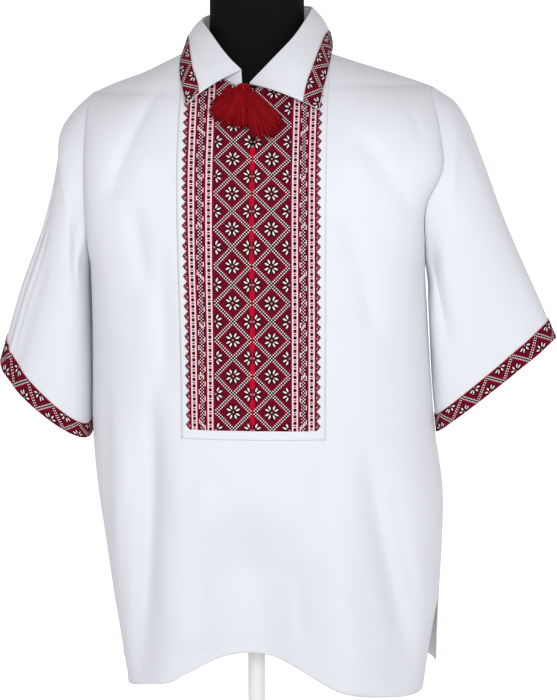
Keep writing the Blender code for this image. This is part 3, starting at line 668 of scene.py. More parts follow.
def sheet_mesh(name, points, maps, closed=False, cells=None, parts=1, shape=None):
    """A sheet through a grid of points, with its UV maps (one pair of numbers for each point).

    cells gives each cell its stitch, or None where it is left out; a stitch is this many parts
    tall. shape(bm) may cut the sheet.
    """
    rows, columns = points.shape[:2]
    bm = bmesh.new()
    layers = [(bm.loops.layers.uv.new(key), values.tolist()) for key, values in maps.items()]
    if cells is not None:
        lens = bm.loops.layers.uv.new("lens")
        thread = bm.loops.layers.float_color.new("thread")
        ground = bm.loops.layers.float_color.new("ground")
        colours = thread_colours()
    bmesh.ops.create_grid(bm, x_segments=columns - 1, y_segments=rows - 1, size=1)
    places = points.tolist()
    grid = {}
    for vert in bm.verts:
        row, column = grid_place(vert, columns - 1, rows - 1)
        grid[vert] = (row, column)
        vert.co = places[row][column]
    empty = []
    for face in bm.faces:
        corners = [grid[loop.vert] for loop in face.loops]
        for layer, values in layers:
            for loop, (row, column) in zip(face.loops, corners):
                loop[layer].uv = values[row][column]
        if cells is None:
            continue
        low = min(row for row, _ in corners)
        first = min(column for _, column in corners)
        stitch = cells[low][first]
        if stitch is None:
            empty.append(face)
            continue
        for loop, (row, column) in zip(face.loops, corners):
            x = column - first - 0.5 - stitch.middle[0]
            y = (row - low + low % parts) / parts - 0.5 - stitch.middle[1]
            along = x * stitch.axis[0] + y * stitch.axis[1]
            across = x * stitch.axis[1] - y * stitch.axis[0]
            loop[lens].uv = (across / stitch.short, along / stitch.long)
            loop[thread] = colours[stitch.thread]
            loop[ground] = colours[stitch.ground]
    if empty:
        bmesh.ops.delete(bm, geom=empty, context="FACES")
    if shape:
        shape(bm)
    if closed:
        bmesh.ops.remove_doubles(bm, verts=bm.verts[:], dist=1e-6)
    return finish_object(name, bm)


def new_object(name, data):
    obj = bpy.data.objects.new(name, data)
    bpy.context.scene.collection.objects.link(obj)
    return obj


def mesh_object(name, bm):
    """A smooth object at the origin from a bmesh."""
    mesh = bpy.data.meshes.new(name)
    bm.to_mesh(mesh)
    bm.free()
    mesh.shade_smooth()
    return new_object(name, mesh)


def finish_object(name, bm):
    """A piece of the shirt or the form, riding on the frame's one body."""
    obj = mesh_object(name, bm)
    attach(obj, "root")
    return obj


def wall(obj, thickness, inward=True):
    """Gives a sheet its thickness, to its inner side or to its outer side."""
    solid = obj.modifiers.new("wall", "SOLIDIFY")
    solid.thickness = thickness
    solid.offset = -1 if inward else 1
    solid.use_rim = True


def slit_open(bm):
    """Cuts the middle column open above the slit's foot and draws its two sides apart."""
    def on_line(vert):
        return abs(vert.co.x - EMBROIDERY_X) < 0.0004
    edges = [
        e for e in bm.edges
        if all(on_line(v) and v.co.z > SLIT_FOOT_Z - 0.002 for v in e.verts)
    ]
    bmesh.ops.split_edges(bm, edges=edges)
    for vert in bm.verts:
        if on_line(vert) and vert.co.z > SLIT_FOOT_Z:
            middle = sum(f.calc_center_median().x for f in vert.link_faces) / len(vert.link_faces)
            open_by = SLIT_HALF * ease((vert.co.z - SLIT_FOOT_Z) / 0.004)
            vert.co.x += open_by if middle > EMBROIDERY_X else -open_by


def bridge(bm, rings):
    """Joins each ring of vertices to the next one."""
    for pair in zip(rings, rings[1:]):
        edges = {e for ring in pair for v in ring for e in v.link_edges
                 if all(w in ring for w in e.verts)}
        bmesh.ops.bridge_loops(bm, edges=list(edges))


def closed_body(bm, rings):
    """Joins rings of vertices into one closed body, faces out."""
    bridge(bm, rings)
    bmesh.ops.contextual_create(bm, geom=list(rings[0]))
    bmesh.ops.contextual_create(bm, geom=list(rings[-1]))
    bmesh.ops.recalc_face_normals(bm, faces=bm.faces[:])


# ---------------------------------------------------------------- materials


class Value:
    """A number that varies over a surface; operators on it add Math nodes."""

    def __init__(self, finish, socket):
        self.finish = finish
        self.socket = socket

    def math(self, operation, *others):
        sockets = dict(enumerate([self, *others]))
        node = self.finish.node("ShaderNodeMath", {"operation": operation}, sockets)
        return Value(self.finish, node.outputs[0])

    def __add__(self, other):
        return self.math("ADD", other)

    __radd__ = __add__

    def __mul__(self, other):
        return self.math("MULTIPLY", other)

    __rmul__ = __mul__

    def __sub__(self, other):
        return self.math("SUBTRACT", other)

    def __rsub__(self, other):
        return (self * -1) + other

    def __truediv__(self, other):
        return self.math("DIVIDE", other)

    def __lt__(self, other):
        return self.math("LESS_THAN", other)

    def __abs__(self):
        return self.math("ABSOLUTE")

    def fract(self):
        return self.math("FRACT")

    def sine(self):
        return self.math("SINE")

    def clamp(self):
        return self.math("MAXIMUM", 0.0).math("MINIMUM", 1.0)

    def most(self, other):
        return self.math("MAXIMUM", other)


class Finish:
    """A material under construction, round its Principled shader."""

    def __init__(self, name, **constants):
        self.material = bpy.data.materials.new(name)
        self.material.use_nodes = True
        self.tree = self.material.node_tree
        self.shader = self.tree.nodes["Principled BSDF"]
        for key, value in constants.items():
            self.shader.inputs[key.replace("_", " ")].default_value = value

    def node(self, kind, settings=None, sockets=None):
        """Any node, from its type, its settings and the values or links of its sockets."""
        node = self.tree.nodes.new(kind)
        for key, value in (settings or {}).items():
            setattr(node, key, value)
        for key, value in (sockets or {}).items():
            if isinstance(value, Value):
                value = value.socket
            if isinstance(value, bpy.types.NodeSocket):
                self.tree.links.new(value, node.inputs[key])
            else:
                node.inputs[key].default_value = value
        return node

    def split(self, vector):
        """The three numbers of a vector."""
        node = self.node("ShaderNodeSeparateXYZ", sockets={0: vector})
        return [Value(self, socket) for socket in node.outputs]

    def grey(self, value):
        """A colour whose three numbers are the same."""
        return self.node("ShaderNodeCombineXYZ", sockets={i: value for i in range(3)}).outputs[0]

    def uv(self, name):
        """The two numbers of a UV map."""
        return self.split(self.node("ShaderNodeUVMap", {"uv_map": name}).outputs[0])[:2]

    def place(self):
        return self.node("ShaderNodeTexCoord").outputs["Object"]

    def noise(self, scale, detail):
        """Noise on the object's own coordinates."""
        sockets = {"Vector": self.place(), "Scale": scale, "Detail": detail}
        return Value(self, self.node("ShaderNodeTexNoise", sockets=sockets).outputs[0])

    def blend(self, factor, one, other):
        """Colour one where the factor is 0 and the other where it is 1."""
        sockets = {0: factor, 6: one, 7: other}
        return self.node("ShaderNodeMix", {"data_type": "RGBA"}, sockets).outputs[2]

    def bump(self, height, distance):
        node = self.node("ShaderNodeBump", sockets={"Height": height, "Distance": distance})
        self.feed("Normal", node.outputs[0])

    def feed(self, name, value):
        socket = value.socket if isinstance(value, Value) else value
        self.tree.links.new(socket, self.shader.inputs[name])

    def dress(self, obj, slot):
        obj.data.materials.clear()
        obj.data.materials.append(self.material)


def tint(colour, factor=1.0):
    return (*[min(1.0, c * factor) for c in colour], 1.0)


@cache
def cloth_finish():
    """Fine plain-weave cotton, with sewn lines where the sewing map says, each painted darker as the
    shade in its groove.
    """
    settings = bpy.context.scene.shirt
    finish = Finish(
        "white_cloth", Roughness=0.82, Specular_IOR_Level=0.28, Sheen_Weight=0.12,
        Sheen_Roughness=0.5,
    )
    across, along = finish.uv("cloth")
    turn = 2 * pi / settings.weave_pitch
    weave = (across * turn).sine() * (along * turn).sine()
    slub = finish.noise(420.0, 3.0)
    broad = finish.noise(16.0, 3.0)
    distance, running = finish.uv("sewing")
    line = (1 - (distance / SEAM_LINE)).clamp()
    stitch = line * ((running / SEAM_STITCH).fract() < SEWN_SHARE)
    shade = (broad * 0.5 + slub * 0.5).clamp()
    colour = finish.blend(
        shade, tint(settings.cloth_colour, 0.965), tint(settings.cloth_colour, 1.02)
    )
    # Painted shade: each sewn line is darkened as if shaded in its groove, then its stitches are
    # painted over it a little lighter than the cloth.
    colour = finish.blend(line * 0.6, colour, tint(settings.cloth_colour, 0.74))
    colour = finish.blend(stitch * 0.6, colour, tint(settings.cloth_colour, 1.03))
    finish.feed("Base Color", colour)
    finish.feed("Roughness", slub * 0.10 + 0.76)
    height = weave * 0.30 + slub * 0.45 + stitch * 3.0 - line * 3.2
    finish.bump(height, 0.00009)
    return finish


@cache
def embroidery_finish():
    """Counted stitches: each cell of the stitches map is one crossed stitch of its threads, with
    painted shade towards its edges.
    """
    finish = Finish("embroidery", Specular_IOR_Level=0.10)
    thread = finish.node("ShaderNodeVertexColor", {"layer_name": "thread"}).outputs[0]
    ground = finish.node("ShaderNodeVertexColor", {"layer_name": "ground"}).outputs[0]
    x, y = finish.uv("lens")
    lens = ((1 - (x * x + y * y)) * 2.6).clamp()
    across, along = finish.uv("stitches")
    u, v = across.fract() - 0.5, along.fract() - 0.5
    one = 1 - abs(u - v) * 2.1
    other = 1 - abs(u + v) * 2.1
    cross = one.most(other).clamp()
    rim = (0.5 - abs(u).most(abs(v))) * 5.0
    hollow = rim.clamp()
    fray = finish.noise(1400.0, 2.0)
    broad = finish.noise(60.0, 2.0)
    # Painted shade: each stitch is painted darker towards its cell's edges, where the gaps between
    # stitches are; the two noises add random tone.
    light = hollow * 0.28 + 0.60 + fray * 0.24 + broad * 0.12
    sewn = finish.blend(lens, ground, thread)
    colour = finish.node(
        "ShaderNodeVectorMath", {"operation": "MULTIPLY"}, {0: sewn, 1: finish.grey(light)}
    )
    finish.feed("Base Color", colour.outputs[0])
    finish.feed("Roughness", fray * 0.15 + 0.75)
    finish.bump(cross * 0.6 + hollow * 0.8 + fray * 0.35 + lens * 0.8, 0.00022)
    return finish


@cache
def thread_finish():
    """Loose red floss of the tie, each thread a little lighter or darker than the next."""
    settings = bpy.context.scene.tie
    finish = Finish("red_thread", Specular_IOR_Level=0.14)
    strand, along = finish.uv("strand")
    uneven = (strand * 12.9898).sine() * 0.5 + 0.5
    fray = finish.noise(900.0, 2.0)
    colour = finish.blend(
        (uneven * 0.7 + fray * 0.3).clamp(), tint(settings.colour, 0.55), tint(settings.colour, 1.35)
    )
    finish.feed("Base Color", colour)
    finish.feed("Roughness", fray * 0.2 + 0.6)
    twist = (along * 9000.0 + strand * 7.0).sine()
    finish.bump(twist * 0.5 + fray * 0.5, 0.00008)
    return finish


@cache
def cover_finish():
    """Black jersey of the dress form."""
    finish = Finish("black_cover", Specular_IOR_Level=0.06)
    fine = finish.noise(1500.0, 2.0)
    broad = finish.noise(30.0, 3.0)
    shade = (fine * 0.6 + broad * 0.4).clamp()
    dark, pale = (0.0026, 0.0028, 0.0028, 1), (0.007, 0.0075, 0.0075, 1)
    finish.feed("Base Color", finish.blend(shade, dark, pale))
    finish.feed("Roughness", fine * 0.15 + 0.78)
    finish.bump(fine, 0.0001)
    return finish


@cache
def metal_finish():
    """White powder coat on the pole and the base."""
    finish = Finish("white_metal", Specular_IOR_Level=0.5)
    peel = finish.noise(700.0, 2.0)
    wear = finish.noise(24.0, 4.0)
    finish.feed("Base Color", finish.blend(wear, (0.86, 0.86, 0.87, 1), (0.92, 0.92, 0.93, 1)))
    finish.feed("Roughness", wear * 0.12 + 0.34)
    finish.bump(peel, 0.00006)
    return finish


# ---------------------------------------------------------------- body of the shirt


def groove(points, distance, closed=False):
    """Presses a sewn seam's groove into the cloth beside an edge."""
    depth = GROOVE * np.exp(-((distance / GROOVE_REACH) ** 2))
    return points - normals(points, closed) * depth[..., None]


def nearest_line(lines):
    """Distance to the nearest of several sewn lines, and the length run along that one."""
    distance = np.stack([d for d, _ in lines])
    running = np.stack([r for _, r in lines])
    nearest = distance.argmin(axis=0)[None]
    pair = [np.take_along_axis(a, nearest, 0)[0] for a in (distance, running)]
    return np.stack(pair, axis=-1)


def sewn_cloth(name, points, runs, lines, walls=1.0, **cut):
    """Plain cloth: runs are the lengths across and along it, and lines are its sewn lines."""
    maps = {"cloth": np.stack(runs, axis=-1), "sewing": nearest_line(lines)}
    obj = sheet_mesh(name, points, maps, **cut)
    wall(obj, bpy.context.scene.shirt.cloth_wall * walls)
    cloth_finish().dress(obj, "white_cloth")
    return obj


def stitched_cloth(name, points, counts, cells, **cut):
    """An embroidered piece: counts are its stitches across and along, and cells is its chart."""
    obj = sheet_mesh(name, points, {"stitches": np.stack(counts, axis=-1)}, cells=cells, **cut)
    wall(obj, bpy.context.scene.embroidery.raised, inward=False)
    embroidery_finish().dress(obj, "embroidery")
    return obj


def make_body_piece(name, face):
    settings = bpy.context.scene.shirt
    points = body_points(face)
    across, along, side, top = measure(points)
    z = points[..., 2]
    far = np.full_like(z, 1.0)
    points = groove(points, side)
    shoulders = np.abs(points[..., 0] - CENTRE_X) > NECK_HALF * 0.98
    points = groove(points, np.where(shoulders, top, far))
    vent = z < VENT_Z
    raised = HEM_RAISE * ease((settings.hem_width - along) / HEM_STEP)
    raised = np.maximum(raised, np.where(vent, HEM_RAISE * ease((VENT_TURNED - side) / HEM_STEP), 0))
    points = points + normals(points) * raised[..., None]
    hem_edge = settings.hem_width - 0.001
    lines = [
        (np.abs(along - hem_edge), across),
        (np.abs(along - hem_edge + HEM_LINES), across),
        (np.where(vent, np.abs(side - VENT_LINE), far), along),
        (np.where(z > ARMPIT_Z, np.abs(side - ARMHOLE_LINE), far), along),
        # the armhole seam itself: a line of painted shade along the edge, with no stitches
        (np.where(z > ARMPIT_Z - 0.01, side * 0.5, far), along * 0 + IN_GAP),
        (np.where(shoulders, np.abs(top - SHOULDER_LINE), far), across),
    ]
    cut = slit_open if face < 0 else None
    return sewn_cloth(name, points, (across, along), lines, shape=cut)


class SHIRT_OT_body(bpy.types.Operator):
    """Makes the front and the back, with their creases, hems and side vents"""

    bl_idname = "shirt.body"
    bl_label = "Front and Back"

    def execute(self, context):
        front = make_body_piece("front_cloth", -1)
        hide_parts("front")
        back = make_body_piece("back_cloth", 1)
        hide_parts("back")
        return {"FINISHED"}


# ---------------------------------------------------------------- chest panel


def embroidery_x(stitch, z):
    """Where a column of stitches stands: counted from the middle, narrower in one side band."""
    low, high, left = SQUEEZE
    right = low + (high - low) * ease((z - EMBROIDERY_FOOT) / 0.38)
    beyond = np.clip(np.abs(stitch) - FIELD_HALF, 0, None)
    pull = beyond * np.where(stitch < 0, 1 - right, left - 1)
    return EMBROIDERY_X + STITCH_WIDE * (stitch + pull)


def plain(letter):
    return Stitch(letter, letter, (0.0, 0.0), UP, 1.0, 1.0)


def dot(thread, ground, long=0.5, short=0.5, axis=UP):
    return Stitch(thread, ground, (0.0, 0.0), axis, long, short)


def star_stitch(x, y):
    """A stitch of a star, at x and y stitches from its centre."""
    small, large = sorted((abs(x), abs(y)))
    if large >= len(STAR):
        return plain("d" if (small + large) % 2 == 0 and small + large < 9 else "c")
    letter = STAR[large][small]
    if letter != "w":
        return plain(letter)
    right = 1 if x > 0 else -1
    up = 1 if y > 0 else -1
    near, far = (1.42, 2.9) if abs(y) >= abs(x) else (2.9, 1.42)
    lean, rise = (0.36, 0.933) if abs(y) >= abs(x) else (0.933, 0.36)
    return Stitch("w", "n", (right * near - x, up * far - y), (right * lean, up * rise), 1.42, 0.56)


def lattice_stitch(across, along):
    """The lattice of diamonds: stitches across from a column's centre line and along it."""
    half = REPEAT // 2
    along = (along + half) % REPEAT - half
    ring = abs(across) + abs(along)
    if ring == half:
        return plain("k")
    if abs(ring - half) == 1:
        return dot("w", "k", 0.42, 0.42)
    if ring == half - 2:
        return plain("e")
    if ring < half:
        return star_stitch(across, along)
    corner = star_stitch(
        across - (half if across > 0 else -half), along - (half if along > 0 else -half)
    )
    return plain("r") if corner.thread in "cde" and across == -half else corner


def mirrored(stitch):
    return stitch._replace(
        middle=(-stitch.middle[0], stitch.middle[1]), axis=(-stitch.axis[0], stitch.axis[1])
    )


def turned(stitch):
    """The stitch with across and along changed over."""
    return stitch._replace(middle=stitch.middle[::-1], axis=stitch.axis[::-1])


def stripe_stitch(column, row):
    """A dotted stripe four stitches wide: a large dot, then a small bar, on a pale ground."""
    if column in (0, 3):
        return plain("p")
    side = 0.5 if column == 1 else -0.5
    step = row % 4
    if step < 2:
        return Stitch("b", "p", (side, 0.5 - step), UP, 1.30, 1.42)
    return Stitch("b", "p", (side, 2.5 - step), UP, 0.50, 1.05)


def braid_stitch(column, row):
    """A braid seven stitches wide: checked, with strokes rising across it."""
    if column in (0, 6):
        return plain("c")
    if column in (1, 5):
        start = row if column == 1 else row + 5
        return dot("p", "c", 0.8, 0.36) if start % 9 < 3 else dot("d", "c")
    if (row - column) % 15 == 0:
        return dot("w", "d", 1.1, 0.34, RISING)
    return dot("p", "d", 0.46, 0.42) if (row + column) % 2 else plain("b")


def tooth_stitch(column, row):
    """The toothed edge: a line, and teeth six stitches tall."""
    if column == 0:
        return plain("c")
    if column == 1:
        return dot("p", "c", 0.4, 0.4) if row % 6 == 2 else plain("c")
    if column == 2:
        return dot("q", "d", 0.45, 0.45) if row % 2 else plain("c")
    return plain("n") if row % 2 else dot("q", "n", 0.4, 0.4)


def tooth_reach(row):
    """How far the teeth reach beyond their line, in stitches."""
    return 0.35 + 2.75 * (1 - np.abs(2 * ((row / 6) % 1.0) - 1)) ** 0.85


def side_band_stitch(outward, row):
    """A side band of the chest panel: outward counts its columns from the diamond field."""
    if outward < 4:
        return stripe_stitch(outward, row)
    if outward < 11:
        return braid_stitch(outward - 4, row)
    if outward < 15:
        return stripe_stitch(outward - 11, row + 2)
    return tooth_stitch(outward - 15, row)


def panel_stitch(column, row):
    """The chest panel's chart; column 0 is the middle line."""
    if column < 0:
        return mirrored(panel_stitch(-column, row))
    if column in (0, 24):
        return plain("c" if column else "r")
    if column <= 23:
        return lattice_stitch(column - 12, row - REPEAT // 2)
    return side_band_stitch(column - 25, row)


def thread_colours():
    """What each letter of the charts is sewn with."""
    threads = bpy.context.scene.embroidery
    return {
        "c": tint(threads.crimson),
        "r": tint(threads.bright),
        "d": tint(threads.bordeaux),
        "m": tint(threads.rose, 0.45),
        "n": tint(threads.bordeaux, 0.75),
        "k": tint(threads.black),
        "w": tint(threads.white),
        "p": tint(threads.rose),
        "b": tint(threads.bordeaux, 0.45),
        "e": tint(threads.crimson, 1.45),
        "q": tint(threads.rose, 0.42),
    }


def make_chest_panel():
    """The plain cloth of the panel, sewn on the front round the embroidery."""
    last = FIELD_HALF + BAND_STITCHES
    foot = PANEL_FOOT_Z
    columns, rows = PANEL_GRID
    share = np.linspace(-1, 1, columns + 1)
    stitch = last * share
    top = neck_edge_z(embroidery_x(stitch, 0.88), -1) - 0.0012
    z = foot + (top - foot) * np.linspace(0, 1, rows + 1)[:, None]
    x = embroidery_x(stitch, z)
    out = np.clip((np.abs(share) - 0.94) / 0.06, 0, 1)
    x = x + np.sign(share) * MARGIN * out
    flat = body_point(x, z, -1)
    across, along, side, _ = measure(flat)
    edge = np.minimum(side, along)
    lift = LIE + 0.0004 * ease(edge / 0.0015)
    points = raised_body_point(x, z, lift)
    lines = [(np.abs(side - PANEL_LINE), along), (np.abs(along - PANEL_LINE), across)]
    return sewn_cloth("chest_panel_cloth", points, (across, along), lines, shape=slit_open)


def make_chest_embroidery():
    """The panel's stitches, two cells to each, on its cloth; the outer columns run in teeth."""
    reach = int(FIELD_HALF + BAND_STITCHES)
    columns = range(-reach, reach + 1)
    centres = (np.arange(len(DIAMONDS)) - 0.5) * REPEAT + 0.5
    rows = int(np.interp(NECK_POINT_Z, DIAMONDS, centres)) * 2
    count = np.arange(rows + 1)[:, None] / 2
    edges = np.arange(-reach - 0.5, reach + 1.5)
    heights = np.interp(count, centres, DIAMONDS)
    beyond = np.clip(np.abs(edges) - (FIELD_HALF + BAND_STITCHES - TOOTH_COLUMNS), 0, None)
    drawn_in = beyond * (1 - tooth_reach(count) / TOOTH_COLUMNS)
    toothed = np.sign(edges) * (np.abs(edges) - drawn_in)
    x = embroidery_x(toothed, heights)
    z = heights + np.zeros_like(x)
    limit = neck_edge_z(x, -1) - 0.001
    points = raised_body_point(x, np.minimum(z, limit), np.full(x.shape, LIE + 0.00045))
    inside = (z < limit - 1e-4)[:-1]
    inside = inside[:, :-1] & inside[:, 1:]
    inside[heights[:-1, 0] > SLIT_FOOT_Z, reach] = False
    cells = [
        [panel_stitch(column, row // 2) if kept else None for column, kept in zip(columns, line)]
        for row, line in enumerate(inside)
    ]
    across = edges - edges[0] + np.zeros_like(x)
    along = count + np.zeros_like(x)
    return stitched_cloth("chest_embroidery", points, (across, along), cells, parts=2)


class SHIRT_OT_chest_panel(bpy.types.Operator):
    """Makes the chest panel and sews its diamonds, dotted stripes, braids and toothed edges"""

    bl_idname = "shirt.chest_panel"
    bl_label = "Chest Panel"

    def execute(self, context):
        panel = make_chest_panel()
        stitches = make_chest_embroidery()
        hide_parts("chest_panel")
        return {"FINISHED"}


# ---------------------------------------------------------------- sleeves


def between(outer, inner, cosine):
    """From the outer line, where the cosine is 1, round to the inner one, where it is -1."""
    return (outer + inner) / 2 + (outer - inner) / 2 * cosine


def sleeve_point(side, turn, share):
    """A sleeve's outer surface: turn goes round from its outer line by the front."""
    sign = SIGNS[side]
    table = SLEEVES[side]
    outer_x, outer_z, inner_x, inner_z, depth = (
        read(table, name, share) for name in Ring._fields[1:]
    )
    cosine = np.cos(2 * pi * turn)
    sine = np.sin(2 * pi * turn)
    sine = np.sign(sine) * np.abs(sine) ** (1 - 0.28 * ease(share / 0.35))
    x = between(outer_x, inner_x, cosine)
    z = between(outer_z, inner_z, cosine)
    first = table[0]
    seam_z = between(first.outer_z, first.inner_z, cosine)
    straight = between(first.outer_x, first.inner_x, cosine)
    seam_x = half_width(sign, seam_z) - 0.0002
    x = x + (seam_x - straight) * (1 - ease(share / 0.25))
    z = z - CUFF_DROP[side] * np.clip(sine, 0, None) * ease((share - 0.4) / 0.6)
    inward = ripple(turn * 0.6, share * 0.3, 11 + sign) * ease(share / 0.1)
    for crease in SLEEVE_FOLDS[side]:
        along = (share - crease.start) / (crease.stop - crease.start)
        line = crease.turn_top + (crease.turn_foot - crease.turn_top) * along
        fade = ease(along / 0.3) * ease((1 - along) / 0.3) * ease(share / 0.12)
        away = (turn - line + 0.5) % 1.0 - 0.5
        inward = inward + crease.depth * fade * np.exp(-((away / crease.half) ** 2))
    shrink = 1 - inward / depth
    middle_x = (outer_x + inner_x) / 2
    return np.stack([
        sign * (middle_x + (x - middle_x) * (1 - inward / 0.08)),
        -depth * sine * shrink,
        z + np.zeros_like(x),
    ], axis=-1)


def cuff_start(side):
    """The share along the sleeve where the cuff band begins."""
    table = SLEEVES[side]
    last, before = table[-1], table[-2]
    run = np.hypot(last.outer_x - before.outer_x, last.outer_z - before.outer_z)
    rise = np.hypot(last.inner_x - before.inner_x, last.inner_z - before.inner_z)
    return 1 - CUFF_BAND * (1 - before.share) / ((run + rise) / 2)


def sleeve_grid(side, turns, shares):
    """Points of a tube, ordered so that its outer side looks out."""
    turns = turns[::-1] if side == "right" else turns
    turn, share = np.meshgrid(turns, shares)
    return sleeve_point(side, turn, share)


def make_sleeve(side):
    turns = np.linspace(0, 1, SLEEVE_TURNS + 1)
    shares = np.linspace(0, 1, SLEEVE_SHARES + 1) ** 1.35
    points = sleeve_grid(side, turns, shares)
    across, along, _, foot = measure(points)
    points = groove(points, along, closed=True)
    # The cuff's sewn line, and along the armhole seam a line of painted shade with no stitches
    lines = [(np.abs(foot - CUFF_BAND - 0.0015), across), (along * 0.5, across * 0 + IN_GAP)]
    return sewn_cloth(f"sleeve_{side}_cloth", points, (across, along), lines, closed=True)


def even_turns(side, share, count):
    """Turns that part the sleeve's ring at this share into equal lengths."""
    turns = np.linspace(0, 1, 721)
    ring = sleeve_point(side, turns, np.full_like(turns, share))
    run = line_run(ring)
    return np.interp(np.linspace(0, run[-1], count + 1), run, turns), run[-1]


def band_rows(count, edge, letter):
    """A band's charted rows between two fine edge lines: their places across it and the cells."""
    line = 0.4
    places = np.concatenate([[0.0], np.arange(BAND_ROWS + 1) + line, [BAND_ROWS + 2 * line]])
    cells = [
        [turned(lattice_stitch(row, column - edge)) for column in range(count)]
        for row in range(BAND_ROWS)
    ]
    rim = [[plain(letter)] * count]
    return places / places[-1], rim + cells + rim


def make_cuff_band(side):
    """A band of half diamonds round the cuff, one cell for each stitch."""
    start = cuff_start(side)
    _, length = even_turns(side, (1 + start) / 2, 10)
    repeats = int(round(length / (REPEAT * STITCH_WIDE)))
    count = repeats * REPEAT
    turns, _ = even_turns(side, (1 + start) / 2, count)
    places, cells = band_rows(count, 0, "r")
    points = sleeve_grid(side, turns[::-1], 1 + (start - 1) * places)
    points = points + normals(points, closed=True) * LIE
    counts = np.meshgrid(np.arange(count + 1.0), places * BAND_ROWS)
    obj = stitched_cloth(f"cuff_band_{side}_stitched", points, counts, cells, closed=True)
    return obj, length


class SHIRT_OT_sleeves(bpy.types.Operator):
    """Makes the two short sleeves with their creases"""

    bl_idname = "shirt.sleeves"
    bl_label = "Sleeves"

    def execute(self, context):
        for side in ("right", "left"):
            obj = make_sleeve(side)
            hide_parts(f"sleeve_{side}")
        return {"FINISHED"}


class SHIRT_OT_cuff_bands(bpy.types.Operator):
    """Makes the embroidered bands round the cuffs"""

    bl_idname = "shirt.cuff_bands"
    bl_label = "Cuff Bands"

    def execute(self, context):
        for side in ("right", "left"):
            obj, length = make_cuff_band(side)
            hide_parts(f"cuff_band_{side}")
        return {"FINISHED"}


# ---------------------------------------------------------------- collar


def neckline(share, side):
    """The body's neck edge: share 0 at the front opening, 1 at the middle of the back."""
    sign = SIGNS[side]
    front = np.asarray(share) < 0.5
    opening = COLLAR_OPENING / NECK_HALF
    before = np.clip(np.sin((opening + (1 - opening) * share / 0.5) * pi / 2), opening, 1)
    out = np.where(front, before, np.sin(np.clip((1 - share) / 0.5, 0, 1) * pi / 2))
    x = CENTRE_X + sign * out * NECK_HALF
    z = np.where(front, NECK_FRONT_Z, NECK_BACK_Z)
    z = z + (NECK_POINT_Z - z) * out**NECK_ROUND
    ahead = body_point(x, z, -1)
    behind = body_point(x, z, 1)
    return np.where(front[..., None], ahead, behind)


def collar_rows(share, side):
    """Base, fold and outer edge of the collar at this share round the neck."""
    sign = SIGNS[side]
    columns = {name: read(COLLAR, name, share) for name in Leaf._fields[1:]}
    for name in Lie._fields[1:]:
        columns[name] = columns[name] + read(COLLAR_LIES[side], name, share)
    tilt = sign * COLLAR_TILT * ease((share - 0.3) / 0.3) * columns["fold_x"] / 0.07
    lines = [neckline(share, side)]
    for name, lift in (("fold", tilt), ("edge", tilt * 0.4)):
        x, y, z = (columns[f"{name}_{axis}"] for axis in "xyz")
        lines.append(np.stack([CENTRE_X + sign * x, y, z + lift], axis=-1))
    return lines


def collar_line(steps):
    """Base, fold and edge round the whole neck, from the wearer's right front to the left one."""
    half = np.linspace(0, 1, steps + 1)
    right = collar_rows(half, "right")
    left = collar_rows(half[:-1][::-1], "left")
    return [np.concatenate(pair) for pair in zip(right, left)]


def leaf_points(fold, edge, shares):
    """The collar leaf from its fold to its outer edge, rounded out between them.

    shares is one list for the whole leaf, or a grid with a share for each place on the fold.
    """
    run = np.gradient(fold, axis=0)
    outward = np.stack([-run[:, 1], run[:, 0], np.zeros(len(run))], axis=-1)
    outward /= np.linalg.norm(outward, axis=-1, keepdims=True)
    shares = np.asarray(shares)
    shares = shares[..., None] if shares.ndim == 2 else shares[:, None, None]
    crown = np.sin(np.clip(shares, 0, 1) * pi) ** 0.8 * LEAF_CROWN
    leaf = fold + outward * 0.0022 + (edge - fold) * shares
    return leaf + outward * crown + np.array([0.0, 0.0, 1.0]) * crown * 0.5, outward


def make_collar_leaf():
    _, fold, edge = collar_line(COLLAR_STEPS)
    leaf, outward = leaf_points(fold, edge, np.linspace(0, 1, 29) ** 1.1)
    roll = []
    for turn in np.linspace(1.0, 0.12, 7):
        lean, rise = np.cos(turn * pi), np.sin(turn * pi)
        middle = fold + outward * 0.0004
        roll.append(middle + outward * lean * 0.0018 + np.array([0, 0, rise * 0.0016]))
    points = np.concatenate([np.stack(roll), leaf])
    across, along, front, foot = measure(points)
    lines = [(np.abs(front - 0.004), along), (np.abs(foot - 0.003), across)]
    return sewn_cloth("collar_fall_cloth", points, (across, along), lines, walls=1.6)


def make_collar_stand():
    base, fold, _ = collar_line(COLLAR_STEPS)
    top = fold + np.array([0.0, 0.0, -0.0008])
    foot = base + np.array([0.0, 0.0, STAND_LIFT])
    share = np.linspace(0, 1, 15)[:, None, None]
    points = top + (foot - top) * share
    across, along, _, height = measure(points)
    lines = [(np.abs(height - 0.003), across)]
    return sewn_cloth("collar_stand_cloth", points, (across, along), lines, walls=1.4)


def make_collar_tape():
    """The tape of half diamonds along the leaf's outer edge."""
    _, fold, edge = collar_line(400)
    width = np.linalg.norm(edge - fold, axis=1, keepdims=True)
    start = 1 - TAPE_WIDE / width
    inner = fold + (edge - fold) * (1 + start) / 2
    run = line_run(inner)
    count = int(round(run[-1] / STITCH_WIDE))
    at = np.interp(np.linspace(0, run[-1], count + 1), run, np.arange(len(run)))
    low = np.clip(at.astype(int), 0, len(run) - 2)
    part = (at - low)[:, None]
    even = [line[low] * (1 - part) + line[low + 1] * part for line in (fold, edge, start)]
    places, cells = band_rows(count, count // 2, "p")
    share = places[:, None]
    points, _ = leaf_points(even[0], even[1], even[2][:, 0] * (1 - share) + share)
    points = points + normals(points) * LIE * 0.5
    counts = np.meshgrid(np.arange(count + 1.0), places * BAND_ROWS)
    return stitched_cloth("collar_tape_stitched", points, counts, cells), run[-1]


